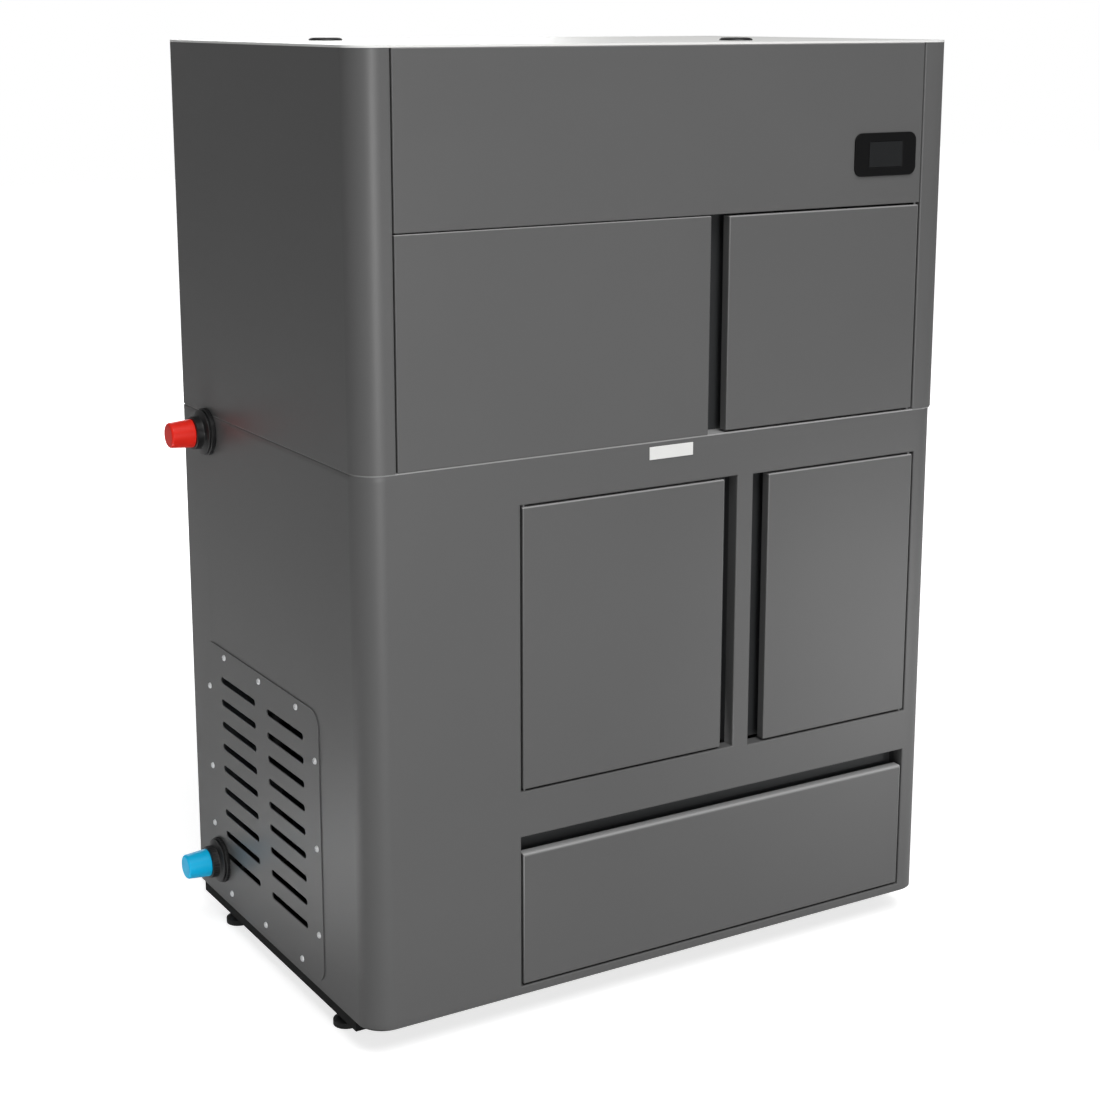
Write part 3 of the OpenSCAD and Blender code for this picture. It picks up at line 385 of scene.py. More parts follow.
class Mesh:
    """Collects surfaces as whole arrays and makes one piece of them."""

    def __init__(self) -> None:
        """Starts with nothing."""
        self.points: list[np.ndarray] = []
        self.faces: list[tuple[int, ...]] = []
        self.count = 0

    def add(self, points: np.ndarray, faces: np.ndarray | list) -> "Mesh":
        """Adds points and the faces among them.

        Args:
            points: an array of N by 3 places.
            faces: index rows or tuples, counted from the first of these points.

        Returns:
            This mesh, so that calls can be chained.
        """
        rows = faces.tolist() if isinstance(faces, np.ndarray) else faces
        self.faces += [tuple(i + self.count for i in row) for row in rows]
        self.points.append(points.reshape(-1, 3))
        self.count += points.reshape(-1, 3).shape[0]
        return self

    def grid(
        self, points: np.ndarray, around: bool = False, along: bool = False, keep: np.ndarray | None = None
    ) -> "Mesh":
        """Adds a surface of two parameters.

        Args:
            points: an array of rows by columns by 3 places.
            around: whether the last column joins the first.
            along: whether the last row joins the first.
            keep: which cells to keep, all if None.

        Returns:
            This mesh.
        """
        rows, cols = points.shape[:2]
        i, j = np.meshgrid(np.arange(rows - (not along)), np.arange(cols - (not around)), indexing="ij")
        if keep is not None:
            i, j = i[keep], j[keep]
        i, j = i.ravel(), j.ravel()
        down, right = (i + 1) % rows, (j + 1) % cols
        quads = np.stack([i * cols + j, i * cols + right, down * cols + right, down * cols + j], axis=1)
        return self.add(points, quads)

    def cap(self, ring: np.ndarray, flip: bool = False) -> "Mesh":
        """Closes one ring of points with a single flat face."""
        order = list(range(len(ring)))
        return self.add(ring, [tuple(reversed(order)) if flip else tuple(order)])

    def piece(self, name: str, merge: float = TOUCH, smooth_under: float = 35.0) -> Piece:
        """Makes the object, with doubles merged and its faces turned outwards.

        Args:
            name: the piece's name.
            merge: distance within which points become one.
            smooth_under: edges flatter than this angle in degrees are shaded smooth.

        Returns:
            The new object, at the origin.
        """
        data = bpy.data.meshes.new(name)
        data.from_pydata(np.concatenate(self.points).tolist(), [], self.faces)
        soft = bmesh.new()
        soft.from_mesh(data)
        bmesh.ops.remove_doubles(soft, verts=soft.verts, dist=merge)
        bmesh.ops.recalc_face_normals(soft, faces=soft.faces)
        soft.to_mesh(data)
        soft.free()
        shade_smooth(data, smooth_under)
        return new_object(name, data)


def finish_edges(piece: Piece) -> Piece:
    """Weights the normals by face area, so that flat faces stay flat beside round ones.

    Args:
        piece: the piece to finish.

    Returns:
        The same piece.
    """
    weigh = piece.modifiers.new("even_normals", "WEIGHTED_NORMAL")
    weigh.keep_sharp = True
    return piece


def rectangle_path(width: float, height: float, radius: float, inset: float, arc: int = 5) -> np.ndarray:
    """Closed outline of a rectangle with round corners, drawn in by an inset.

    Each corner is a quarter circle whose centre stays put until the inset passes the radius, and
    rings with different insets have matching points.

    Args:
        width: full width.
        height: full height.
        radius: corner radius at no inset.
        inset: distance inwards; negative is outwards.
        arc: points on each corner.

    Returns:
        An array of 4 * arc by 2 places, measured from the lower left corner.
    """
    r = max(radius - inset, 0.0)
    shift = max(radius, inset)
    turn = np.linspace(0.0, math.pi / 2, arc)
    corners = []
    right, top = width - shift, height - shift
    for k, (cx, cy) in enumerate([(right, top), (shift, top), (shift, shift), (right, shift)]):
        a = turn + k * math.pi / 2
        corners.append(np.stack([cx + r * np.cos(a), cy + r * np.sin(a)], axis=1))
    return np.concatenate(corners)


def lift(flat: np.ndarray, depth: float, origin: np.ndarray, facing: Facing) -> np.ndarray:
    """Stands a flat outline on the front or the top of the cabinet.

    Args:
        flat: N by 2 places.
        depth: distance behind the face.
        origin: the outline's corner on the face.
        facing: which way the face looks.

    Returns:
        N by 3 places.
    """
    a, b = flat[:, 0], flat[:, 1]
    back = np.full_like(a, depth)
    columns = {Facing.FRONT: (a, back, b), Facing.TOP: (a, b, -back)}[facing]
    return np.stack(columns, axis=1) + origin


def bend_profile(radius: float, steps: int) -> Outline:
    """Inset and depth along a bend from the rim onto the face, a quarter circle."""
    turn = np.linspace(0.0, math.pi / 2, steps)
    return [(radius * (1 - math.cos(a)), radius * (1 - math.sin(a))) for a in turn]


def revolve(
    profile: Outline, centre: np.ndarray, axis: int, sides: int, lobes: int = 0, lobe_depth: float = 0.0
) -> np.ndarray:
    """Surface of a profile turned round an axis, with an optional knurl.

    The radius at angle a is r * (1 + lobe_depth * cos(lobes * a)).

    Args:
        profile: distance along the axis and radius, point by point.
        centre: a point on the axis.
        axis: 0, 1 or 2 for X, Y or Z.
        sides: points round the axis.
        lobes: number of ribs round it.
        lobe_depth: height of the ribs as a share of the radius.

    Returns:
        Rows by sides by 3 places.
    """
    a = np.linspace(0.0, 2 * math.pi, sides, endpoint=False)
    rows = np.array(profile)
    r = rows[:, 1:2] * (1 + lobe_depth * np.cos(lobes * a))[None, :]
    u, v = r * np.cos(a), r * np.sin(a)
    w = np.repeat(rows[:, :1], sides, axis=1)
    order = {0: (w, u, v), 1: (v, w, u), 2: (u, v, w)}[axis]
    return np.stack(order, axis=2) + centre


def softened(node: str, name: str, width: float, segments: int = 2) -> Piece:
    """Copies a CAD piece and rounds its edges by a small radius.

    Args:
        node: the CAD node.
        name: the new piece's name.
        width: the edge radius.
        segments: faces across the radius.

    Returns:
        The new object.
    """
    data = frame["nodes"][node].data.copy()
    data.name = name
    soft = bmesh.new()
    soft.from_mesh(data)
    bmesh.ops.remove_doubles(soft, verts=soft.verts, dist=2e-6)
    bmesh.ops.dissolve_limit(soft, angle_limit=math.radians(1.0), verts=soft.verts, edges=soft.edges)
    soft.to_mesh(data)
    soft.free()
    shade_smooth(data, 35.0)
    made = new_object(name, data)
    bevel = made.modifiers.new("edge", "BEVEL")
    bevel.width = width
    bevel.segments = segments
    bevel.limit_method = "ANGLE"
    bevel.angle_limit = math.radians(40)
    return finish_edges(made)


def place_piece(piece: Piece, finish: Material, body: str, slot: str, *nodes: str) -> Piece:
    """Gives a piece its finish and its body, and hides the CAD nodes that it stands for.

    Args:
        piece: the new piece.
        finish: its material.
        body: the CAD body it rides on.
        slot: the record's material slot; not used.
        nodes: the CAD nodes that it replaces.

    Returns:
        The same piece.
    """
    piece.data.materials.clear()
    piece.data.materials.append(finish)
    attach(piece, body)
    if nodes:
        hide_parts(*nodes)
    LOG.info("piece %s rides on %s", piece.name, body)
    return piece


def node_corners(node: str) -> tuple[np.ndarray, np.ndarray]:
    """Lowest and highest corners of a CAD node."""
    low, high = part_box(node)
    return np.array(low), np.array(high)


@dataclass
class FoldedPanel:
    """A sheet panel with a bent rim: doors, fascia, drawer front and lid."""

    name: str
    node: str
    body: str
    facing: Facing = Facing.FRONT
    bend: float = 1.6 * MM
    corner: float = 1.8 * MM
    sheet: float = 1.5 * MM
    inner_fold: float = 0.4 * MM
    pins: bool = False
    slot: str = "cabinet_grey"
    crown: float = 0.0

    def ring(
        self, size: tuple[float, float], inset: float, depth: float, origin: np.ndarray, bent: bool
    ) -> np.ndarray:
        """One ring of the rim; a bent ring swells along the upper edge up to the crown's radius.

        Args:
            size: the panel's width and height.
            inset: distance inwards from the outline.
            depth: distance behind the face.
            origin: the outline's corner on the face.
            bent: whether the ring lies in the bend.

        Returns:
            N by 3 places.
        """
        outline = rectangle_path(*size, self.corner, inset)
        deep = np.full(len(outline), depth)
        if bent and self.crown > self.bend:
            turn = np.linspace(0.0, math.pi / 2, len(outline) // 4)
            around = np.concatenate([turn + k * math.pi / 2 for k in range(4)])
            upper = np.clip(np.sin(around), 0.0, 1.0)
            more = (self.crown / self.bend - 1.0) * upper
            outline[:, 1] -= more * inset
            deep += more * depth
        return lift(outline, deep, origin, self.facing)

    def extents(self) -> tuple[np.ndarray, np.ndarray]:
        """Lowest and highest corners of the panel alone, without its hinge pins."""
        corners = node_corners(self.node)
        return trim_pins(self.node, *corners) if self.pins else corners

    def surface(self) -> Mesh:
        """Carries the rim's profile round the panel's outline and closes both faces.

        The profile runs from the inside face, out over the rim's edge, forward to the bend, through
        its quarter circle, and onto the front face.

        Returns:
            The closed panel.
        """
        low, high = self.extents()
        size = high - low
        flat = {Facing.FRONT: (size[0], size[2]), Facing.TOP: (size[0], size[1])}[self.facing]
        deep = size[1] if self.facing is Facing.FRONT else size[2]
        origin = low if self.facing is Facing.FRONT else np.array([low[0], low[1], high[2]])
        inner = self.sheet + self.inner_fold
        rim = [(inner, self.sheet), (self.sheet, inner), (self.sheet, deep), (0.0, deep)]
        bend = bend_profile(self.bend, steps=6)
        rings = [self.ring(flat, inset, depth, origin, bent=False) for inset, depth in rim]
        rings += [self.ring(flat, inset, depth, origin, bent=True) for inset, depth in bend]
        return Mesh().grid(np.stack(rings), around=True).cap(rings[0], flip=True).cap(rings[-1])

    def build(self, finish: Material) -> Piece:
        """Makes the panel and gives it its finish.

        Args:
            finish: the panel's paint.

        Returns:
            The piece.
        """
        mesh = self.surface()
        if self.pins:
            add_pins(mesh, self.node, *self.extents(), self.facing)
        piece = mesh.piece(self.name)
        # mask of the painted highlight on the panel's upward folds
        mark_painted_highlight(piece.data)
        return place_piece(finish_edges(piece), finish, self.body, self.slot, self.node)


def mark_painted_highlight(data: bpy.types.Mesh) -> None:
    """Stores as "rim" how far each point of a panel faces up, as the mask of the painted highlight: nought on
    its face, one on its upper fold.

    The value is twice the upward part of the point's normal less 0.3, kept between nought and one.

    Args:
        data: the panel's mesh, whose flat faces end in the first ring of their bends.
    """
    normals = np.empty(len(data.vertices) * 3)
    data.vertices.foreach_get("normal", normals)
    rise = np.clip(normals[2::3] * 2.0 - 0.3, 0.0, 1.0)
    data.attributes.new("rim", "FLOAT", "POINT").data.foreach_set("value", rise)


def node_points(node: str) -> np.ndarray:
    """All points of a CAD node's mesh.

    Args:
        node: the CAD node.

    Returns:
        N by 3 places.
    """
    data = frame["nodes"][node].data
    flat = np.empty(len(data.vertices) * 3)
    data.vertices.foreach_get("co", flat)
    return flat.reshape(-1, 3)


def trim_pins(node: str, low: np.ndarray, high: np.ndarray) -> tuple[np.ndarray, np.ndarray]:
    """Finds the panel without its pins: the box of the points that lie on its front face.

    Args:
        node: the CAD node.
        low: lowest corner with the pins.
        high: highest corner with the pins.

    Returns:
        Both corners, narrowed to the front face.
    """
    points = node_points(node)
    axis, face = (1, low[1]) if high[1] - low[1] < DEEPEST_PANEL else (2, high[2])
    front = points[np.abs(points[:, axis] - face) < ON_FACE]
    low, high = low.copy(), high.copy()
    for k in range(3):
        if k != axis:
            low[k], high[k] = front[:, k].min(), front[:, k].max()
    return low, high


def add_pins(mesh: Mesh, node: str, low: np.ndarray, high: np.ndarray, facing: Facing) -> None:
    """Adds the hinge pins that stand out of a panel's rims, as short round bars.

    Args:
        mesh: the panel's mesh.
        node: the CAD node, whose outermost points show where the pins are.
        low: the panel's lowest corner.
        high: the panel's highest corner.
        facing: the panel's facing, which tells the pins' direction.
    """
    sunk, chamfer = 4 * MM, 0.4 * MM
    points = node_points(node)
    axis = 2 if facing is Facing.FRONT else 0
    for side in (-1, 1):
        edge = low[axis] if side < 0 else high[axis]
        end = points[:, axis].min() if side < 0 else points[:, axis].max()
        tip = points[np.abs(points[:, axis] - end) < ON_FACE]
        centre = (tip.min(axis=0) + tip.max(axis=0)) / 2
        other = 0 if axis == 2 else 1
        radius = (tip[:, other].max() - tip[:, other].min()) / 2
        centre[axis] = 0.0
        root = edge - side * sunk
        shaft = [(root, 0.0), (root, radius), (end - side * chamfer, radius)]
        profile = shaft + [(end, radius - chamfer), (end, 0.0)]
        mesh.grid(revolve(profile, centre, axis, sides=20), around=True)


ORIGIN = node_corners("lower_shell")[0]


def at(x: float, y: float, z: float) -> np.ndarray:
    """A place from millimetres right of, behind and above the casing's lower front left corner."""
    return ORIGIN + np.array([x, y, z]) * MM


def within(values: np.ndarray, low: float, high: float) -> np.ndarray:
    """Which values lie between two limits, with what only touches them."""
    return (values >= low - TOUCH) & (values <= high + TOUCH)


def add_bar(mesh: Mesh, low: Spot, high: Spot) -> None:
    """Adds a square bar between two opposite corners, closed at both ends.

    Args:
        mesh: the mesh that takes the bar.
        low: its lowest corner in millimetres, as at() takes it.
        high: its highest corner.
    """
    (x0, y0, z0), (x1, y1, z1) = low, high
    section = ((y0, z0), (y1, z0), (y1, z1), (y0, z1))
    ends = np.array([[at(x, y, z) for y, z in section] for x in (x0, x1)])
    mesh.grid(ends, around=True).cap(ends[0], flip=True).cap(ends[1])


@dataclass
class Opening:
    """A rectangular opening with folded lips, given by its clear edges in millimetres."""

    side: Facing
    start: float
    end: float
    low: float
    high: float
    lip: float = 20.0

    def edges(self, bend: float) -> tuple[float, float, float, float]:
        """The edges of the flat sheet round the opening, which stop short of it by the bend."""
        r = bend if self.lip else 0.0
        return self.start - r, self.end + r, self.low - r, self.high + r


@dataclass
class WrapSheet:
    """Sheet bent round the casing's corners, with folded lips round its openings.

    The flat parts stop one bend radius short of every opening. From there a band follows a quarter
    circle into the opening and runs straight back; both meet in the same points, so one Solidify
    gives the whole sheet its thickness and a true inner radius at the folds.
    """

    name: str
    node: str
    plan: Outline
    low: float
    high: float
    openings: list[Opening] = field(default_factory=list)
    bend: float = 2.2
    thick: float = 2.0

    def levels(self, side: Facing) -> list[float]:
        """Places along one side at which the grid needs a line."""
        spots = [v for o in self.openings if o.side is side for v in o.edges(self.bend)[:2]]
        return sorted(set(spots))

    def path(self) -> np.ndarray:
        """The plan with extra points where openings begin and end.

        Returns:
            N by 2 places in millimetres.
        """
        out = [self.plan[0]]
        for (x0, y0), (x1, y1) in zip(self.plan, self.plan[1:]):
            if abs(y0) < TOUCH and abs(y1) < TOUCH:
                cuts = [(x, 0.0) for x in self.levels(Facing.FRONT) if min(x0, x1) < x < max(x0, x1)]
            elif abs(x0) < TOUCH and abs(x1) < TOUCH:
                cuts = [(0.0, y) for y in self.levels(Facing.LEFT) if min(y0, y1) < y < max(y0, y1)]
            else:
                cuts = []
            out += sorted(cuts, key=lambda p: math.hypot(p[0] - x0, p[1] - y0)) + [(x1, y1)]
        return np.array(out)

    def surface(self) -> Mesh:
        """The bent sheet and the lips as one thin surface: the plan at every height, less its openings.

        Returns:
            The open surface, without thickness.
        """
        path = self.path()
        levels = {z for o in self.openings for z in o.edges(self.bend)[2:]}
        heights = np.array(sorted({self.low, self.high} | levels))
        points = np.array([[at(x, y, z) for x, y in path] for z in heights])
        keep = np.ones((len(heights) - 1, len(path) - 1), dtype=bool)
        mesh = Mesh()
        for o in self.openings:
            start, end, low, high = o.edges(self.bend)
            axis = 0 if o.side is Facing.FRONT else 1
            along, across = path[:, axis], path[:, 1 - axis]
            columns = within(along, start, end) & (np.abs(across) < TOUCH)
            rows = within(heights, low, high)
            keep &= ~((rows[:-1] & rows[1:])[:, None] & (columns[:-1] & columns[1:])[None, :])
            if o.lip:
                self.add_lip(mesh, o, sorted(set(along[columns].tolist())), heights[rows].tolist())
        return mesh.grid(points, keep=keep)

    def add_lip(self, mesh: Mesh, o: Opening, stops: list[float], zs: list[float]) -> None:
        """Adds the band from the flat sheet round one opening's fold to the lip's edge.

        Args:
            mesh: the mesh that takes the band.
            o: the opening.
            stops: places of grid lines along the side.
            zs: heights of grid lines.
        """
        start, end, low, high = o.edges(self.bend)
        ring = [(s, low) for s in stops] + [(end, z) for z in zs[1:]]
        ring += [(s, high) for s in stops[-2::-1]] + [(start, z) for z in zs[-2:0:-1]]
        fold = [(self.bend - inset, depth) for inset, depth in reversed(bend_profile(self.bend, steps=5))]
        rows = []
        for inset, depth in fold + [(self.bend, o.lip)]:
            row = []
            for s, z in ring:
                s += inset if s == start else -inset if s == end else 0.0
                z += inset if z == low else -inset if z == high else 0.0
                row.append(at(s, depth, z) if o.side is Facing.FRONT else at(depth, s, z))
            rows.append(row)
        mesh.grid(np.array(rows), around=True)

    def build(self, finish: Material) -> Piece:
        """Makes the sheet and gives it its thickness and finish.

        Args:
            finish: the sheet's paint.

        Returns:
            The piece.
        """
        piece = self.surface().piece(self.name, merge=2e-5)
        wall = piece.modifiers.new("sheet", "SOLIDIFY")
        wall.thickness = self.thick * MM
        wall.offset = -1.0
        wall.use_even_offset = False
        return place_piece(finish_edges(piece), finish, "cabinet", "cabinet_grey", self.node)


def corner_arc(cx: float, cy: float, radius: float, first: float, last: float, steps: int = 13) -> Outline:
    """Points of a rounded corner in plan, between two angles in degrees."""
    turn = np.radians(np.linspace(first, last, steps))
    return [(cx + radius * math.cos(a), cy + radius * math.sin(a)) for a in turn]


@dataclass
class Turned:
    """A round part made from one profile turned about an axis."""

    name: str
    node: str
    body: str
    slot: str
    axis: int
    centres: list[np.ndarray]
    profiles: list[Outline]
    sides: int = 56
    lobes: int = 0
    lobe_depth: float = 0.0

    def build(self, finish: Material) -> Piece:
        """Makes one piece of all the turned profiles at all the centres; the first profile has the knurl.

        Args:
            finish: the part's material.

        Returns:
            The piece.
        """
        mesh = Mesh()
        for centre in self.centres:
            for k, profile in enumerate(self.profiles):
                rows = [(a * MM, r * MM) for a, r in profile]
                lobes = self.lobes if k == 0 else 0
                mesh.grid(revolve(rows, centre, self.axis, self.sides, lobes, self.lobe_depth), around=True)
        piece = mesh.piece(self.name, smooth_under=40.0)
        return place_piece(finish_edges(piece), finish, self.body, self.slot, self.node)


def screw_head(centre: np.ndarray, outward: np.ndarray, radius: float, height: float) -> np.ndarray:
    """Pan head with a hexagon socket.

    The socket's radius at angle a is apothem / cos((a mod 60°) - 30°), as a share of the head's.

    Args:
        centre: the middle of the head's seat.
        outward: unit axis out of the sheet.
        radius: head radius in millimetres.
        height: head height in millimetres.

    Returns:
        Rows by points by 3 places.
    """
    a = np.linspace(0.0, 2 * math.pi, 24, endpoint=False)
    apothem, floor = 0.42, 0.25
    socket = apothem / np.cos(np.mod(a, math.pi / 3) - math.pi / 6)
    shape = [(0.0, 1.0), (0.35, 1.0), (0.62, 0.93), (0.86, 0.78), (1.0, 0.6)]
    rows = [(h, np.full_like(a, r)) for h, r in shape]
    rows += [(1.0, socket), (floor, socket * 0.94), (floor, socket * 0.0)]
    side = np.cross(outward, [0.0, 0.0, 1.0]) if abs(outward[2]) < 0.9 else np.array([1.0, 0.0, 0.0])
    up = np.cross(side, outward)
    out = []
    for h, r in rows:
        flat = np.outer(r * np.cos(a), side) + np.outer(r * np.sin(a), up)
        out.append(centre + flat * radius * MM + outward * h * height * MM)
    return np.array(out)


@dataclass
class ScrewSet:
    """Screw heads on one sheet."""

    name: str
    outward: Spot
    spots: list[np.ndarray]
    radius: float
    height: float
    node: str | None = None

    def build(self, finish: Material) -> Piece:
        """Makes all heads as one piece.

        Args:
            finish: the screws' metal.

        Returns:
            The piece.
        """
        mesh = Mesh()
        for spot in self.spots:
            mesh.grid(screw_head(spot, np.array(self.outward), self.radius, self.height), around=True)
        nodes = (self.node,) if self.node else ()
        return place_piece(finish_edges(mesh.piece(self.name)), finish, "cabinet", "screw_zinc", *nodes)


@dataclass
class Bezel:
    """Display surround: a soft-edged plate with a chamfered window."""

    node: str = "display_bezel"
    window: str = "display_screen"
    corner: float = 12 * MM
    window_corner: float = 2 * MM
    edge: float = 0.9 * MM
    proud: float = 2.5 * MM
    back_lip: float = 1.2 * MM

    # Inset and depth of the window's chamfer in millimetres, from its depth to the face.
    CHAMFER = [(0.05, 1.1), (-0.15, 0.9), (-1.2, 0.12), (-1.6, 0.0)]

    def build(self, finish: Material) -> Piece:
        """Makes the surround as one closed band of rings, from the window's depth out to the plate's back.

        Args:
            finish: the surround's plastic.

        Returns:
            The piece.
        """
        low, high = node_corners(self.node)
        window_low, window_high = node_corners(self.window)
        window_low[1] = low[1]
        rim = [(self.back_lip, self.proud), (0.0, self.proud)] + bend_profile(self.edge, steps=5)
        bands = [(window_low, window_high, self.window_corner, i * MM, d * MM) for i, d in self.CHAMFER]
        bands += [(low, high, self.corner, inset, depth) for inset, depth in reversed(rim)]
        rings = []
        for start, end, corner, inset, depth in bands:
            outline = rectangle_path(end[0] - start[0], end[2] - start[2], corner, inset, arc=8)
            rings.append(lift(outline, depth, start, Facing.FRONT))
        piece = Mesh().grid(np.stack(rings), around=True).piece("display_surround")
        return place_piece(finish_edges(piece), finish, "cabinet", "bezel_black", self.node)


class Finishes:
    """All finishes of the boiler by material slot."""

    # Slot, colour code and roughness, then what differs from the plain finish.
    PALETTE = [
        # cabinet_grey's rim colour 969696 is a painted highlight on the panels' up-facing folds
        PowderCoat("cabinet_grey", "5a5a5a", 0.4, rim="969696"),
        PowderCoat("base_black", "0c0c0d", 0.7, gloss=0.2),
        # top_white paints the top sheet and the lid near-white: a painted reflection of the pale room at a
        # grazing angle
        PowderCoat("top_white", "e9e9e7", 0.4, cloud=0.02),
        # channel_dark, darker than the cabinet grey, is painted shade in the grip recesses
        PowderCoat("channel_dark", "303132", 0.42),
        PowderCoat("seam_grey", "a2a2a2", 0.4),
        Moulded("foot_black", "141415", 0.55),
        Moulded("cap_black", "121213", 0.42),
        Moulded("bezel_black", "0a0a0b", 0.55, gloss=0.14),
        Moulded("screen_dark", "202122", 0.25, depth=0.0, coat=0.04, gloss=0.25),
        Moulded("plate_pale", "ececea", 0.4),
        Moulded("box_grey", "3d4245", 0.5),
        Moulded("switch_red", "b01818", 0.35, coat=0.4),
        Moulded("handle_black", "171717", 0.38, coat=0.3),
        Moulded("cap_red", "ff2a1a", 0.4, gloss=0.3),
        Moulded("cap_blue", "00c8ff", 0.4, gloss=0.3),
        Moulded("igniter_ceramic", "c9c1af", 0.6),
        PowderCoat("vessel_red", "a01c18", 0.3),
        ScorchedIron("motor_dark", "26292c", soot="17191b", roughness=0.5),
        ScorchedIron("body_iron", "4a4d52", soot="2a2a2b"),
        ScorchedIron("door_iron", "2e3133", soot="1a1a1a"),
        RopeFibre("seal_rope", "d6cebb"),
        BareMetal("screw_zinc", "e6e7e8", 0.34, tint="dcdddf", metallic=0.2),
        BareMetal("rear_zinc", "a4a8aa", 0.4, spangle=90.0),
        BareMetal("plain_steel", "9a9da0", 0.36, grain=(1.0, 1.0, 9.0)),
        BareMetal("pot_steel", "6b6058", 0.42, grain=(1.0, 1.0, 4.0), tint="3a3436"),
        PowderCoat("pipe_black", "161616", 0.45),
    ]

    def __init__(self) -> None:
        """Builds every material once."""
        self.made = {finish.name: finish.build() for finish in self.PALETTE}

    def __getitem__(self, name: str) -> Material:
        """The material of a slot."""
        return self.made[name]

    def dress(self, subparts: dict[str, str]) -> None:
        """Gives every CAD node the material of its slot.

        Args:
            subparts: slot by node name.
        """
        for node, name in subparts.items():
            data = frame["nodes"][node].data
            data.materials.clear()
            data.materials.append(self.made[name])


@dataclass
class Lamp:
    """A soft area lamp aimed at a point."""

    name: str
    spot: Spot
    aim: Spot
    size: float
    watts: float
    spread: float = 180.0

    def build(self) -> None:
        """Makes the lamp."""
        light = bpy.data.lights.new(self.name, "AREA")
        light.shape = "SQUARE"
        light.size = self.size
        light.energy = self.watts
        light.spread = math.radians(self.spread)
        lamp = new_object(self.name, light)
        lamp.location = self.spot
        ray = np.array(self.aim) - np.array(self.spot)
        flat = math.hypot(ray[0], ray[1])
        lamp.rotation_euler = (math.pi / 2 + math.atan2(ray[2], flat), 0.0, math.atan2(-ray[0], ray[1]))


@dataclass
class Studio:
    """White room with a plain floor, soft lamps and the photo's camera; metres, millimetres for the lens."""

    floor_reach: float = 14.0
    room_light: float = 0.16
    camera_spot: Spot = (-1.103, -2.298, 1.34)
    camera_dip: float = 12.3
    camera_turn: float = 31.03
    focal_length: float = 67.63
    shift: float = -0.08

    LAMPS = [
        Lamp("key_front", (-0.8, -5.4, 0.9), aim=(0.0, 0.0, 0.6), size=2.2, watts=64.0),
        Lamp("sky_front", (-0.3, -4.2, 7.0), aim=(0.0, 0.0, 0.7), size=4.6, watts=450.0),
        Lamp("front_left", (-1.1, -5.0, 0.9), aim=(-0.5, 0.1, 0.4), size=1.0, watts=19.0),
        Lamp("right_glow", (1.7, -3.4, 0.45), aim=(0.5, -0.3, 0.42), size=0.35, watts=0.3, spread=14.0),
        Lamp("floor_bounce", (-0.98, 0.25, 0.38), aim=(-0.98, 0.251, 0.0), size=0.5, watts=3.0, spread=90.0),
        Lamp("top_soft", (0.2, 0.6, 4.2), aim=(0.0, 0.2, 1.3), size=3.0, watts=12.0),
        Lamp("rear_soft", (1.5, 4.8, 1.8), aim=(0.0, 0.3, 0.6), size=2.5, watts=70.0),
    ]

    def build(self) -> None:
        """Makes the world, the floor, the lamps and the camera."""
        self.world()
        self.floor()
        for lamp in self.LAMPS:
            lamp.build()
        self.camera()
        bpy.context.scene.view_settings.view_transform = "Standard"

    @staticmethod
    def seen(g: Graph) -> Value:
        """How much of the pale background a ray meets: all for the camera and through glass, part in gloss.

        Args:
            g: the floor's or the world's graph.

        Returns:
            One, or less for a ray that takes part of it or none.
        """
        names = ("Is Camera Ray", "Is Transmission Ray", "Is Glossy Ray")
        camera, glass, gloss = (g.node("ShaderNodeLightPath", out=name) for name in names)
        return camera + glass + gloss * 0.1

    def world(self) -> None:
        """White for the camera, a soft grey as light."""
        g = Graph("room", world=True)
        level = self.seen(g) * (1.0 - self.room_light) + self.room_light
        bpy.context.scene.world = g.surface({"Color": WHITE, "Strength": level}, "ShaderNodeBackground")

    def floor(self) -> None:
        """A large pale floor that shows white where no shadow falls."""
        data = bpy.data.meshes.new("floor")
        r = self.floor_reach
        data.from_pydata([(-r, -r, 0.0), (r, -r, 0.0), (r, r, 0.0), (-r, r, 0.0)], [], [(0, 1, 2, 3)])
        floor = new_object("floor", data)
        g = Graph("floor_pale")
        away = g.node("ShaderNodeVectorMath", {"operation": "LENGTH"}, {0: g.place()}, "Value")
        ramp = {"Value": away, "From Min": 0.9, "From Max": 2.0, "To Min": 0.74, "To Max": 1.0}
        glow = g.node("ShaderNodeMapRange", {"interpolation_type": "SMOOTHSTEP"}, ramp)
        data.materials.append(g.surface({
            "Base Color": (0.6, 0.6, 0.6, 1.0),
            "Roughness": 0.9,
            "Emission Color": WHITE,
            "Emission Strength": glow * self.seen(g),
        }))

    def camera(self) -> None:
        """The photo's camera: in front and to the left, looking slightly down."""
        lens = bpy.data.cameras.new("camera")
        lens.sensor_width = 36.0
        lens.lens = self.focal_length
        lens.shift_y = self.shift
        camera = new_object("camera", lens)
        camera.location = ORIGIN + np.array(self.camera_spot)
        camera.rotation_euler = (math.radians(90.0 - self.camera_dip), 0.0, -math.radians(self.camera_turn))
        bpy.context.scene.camera = camera


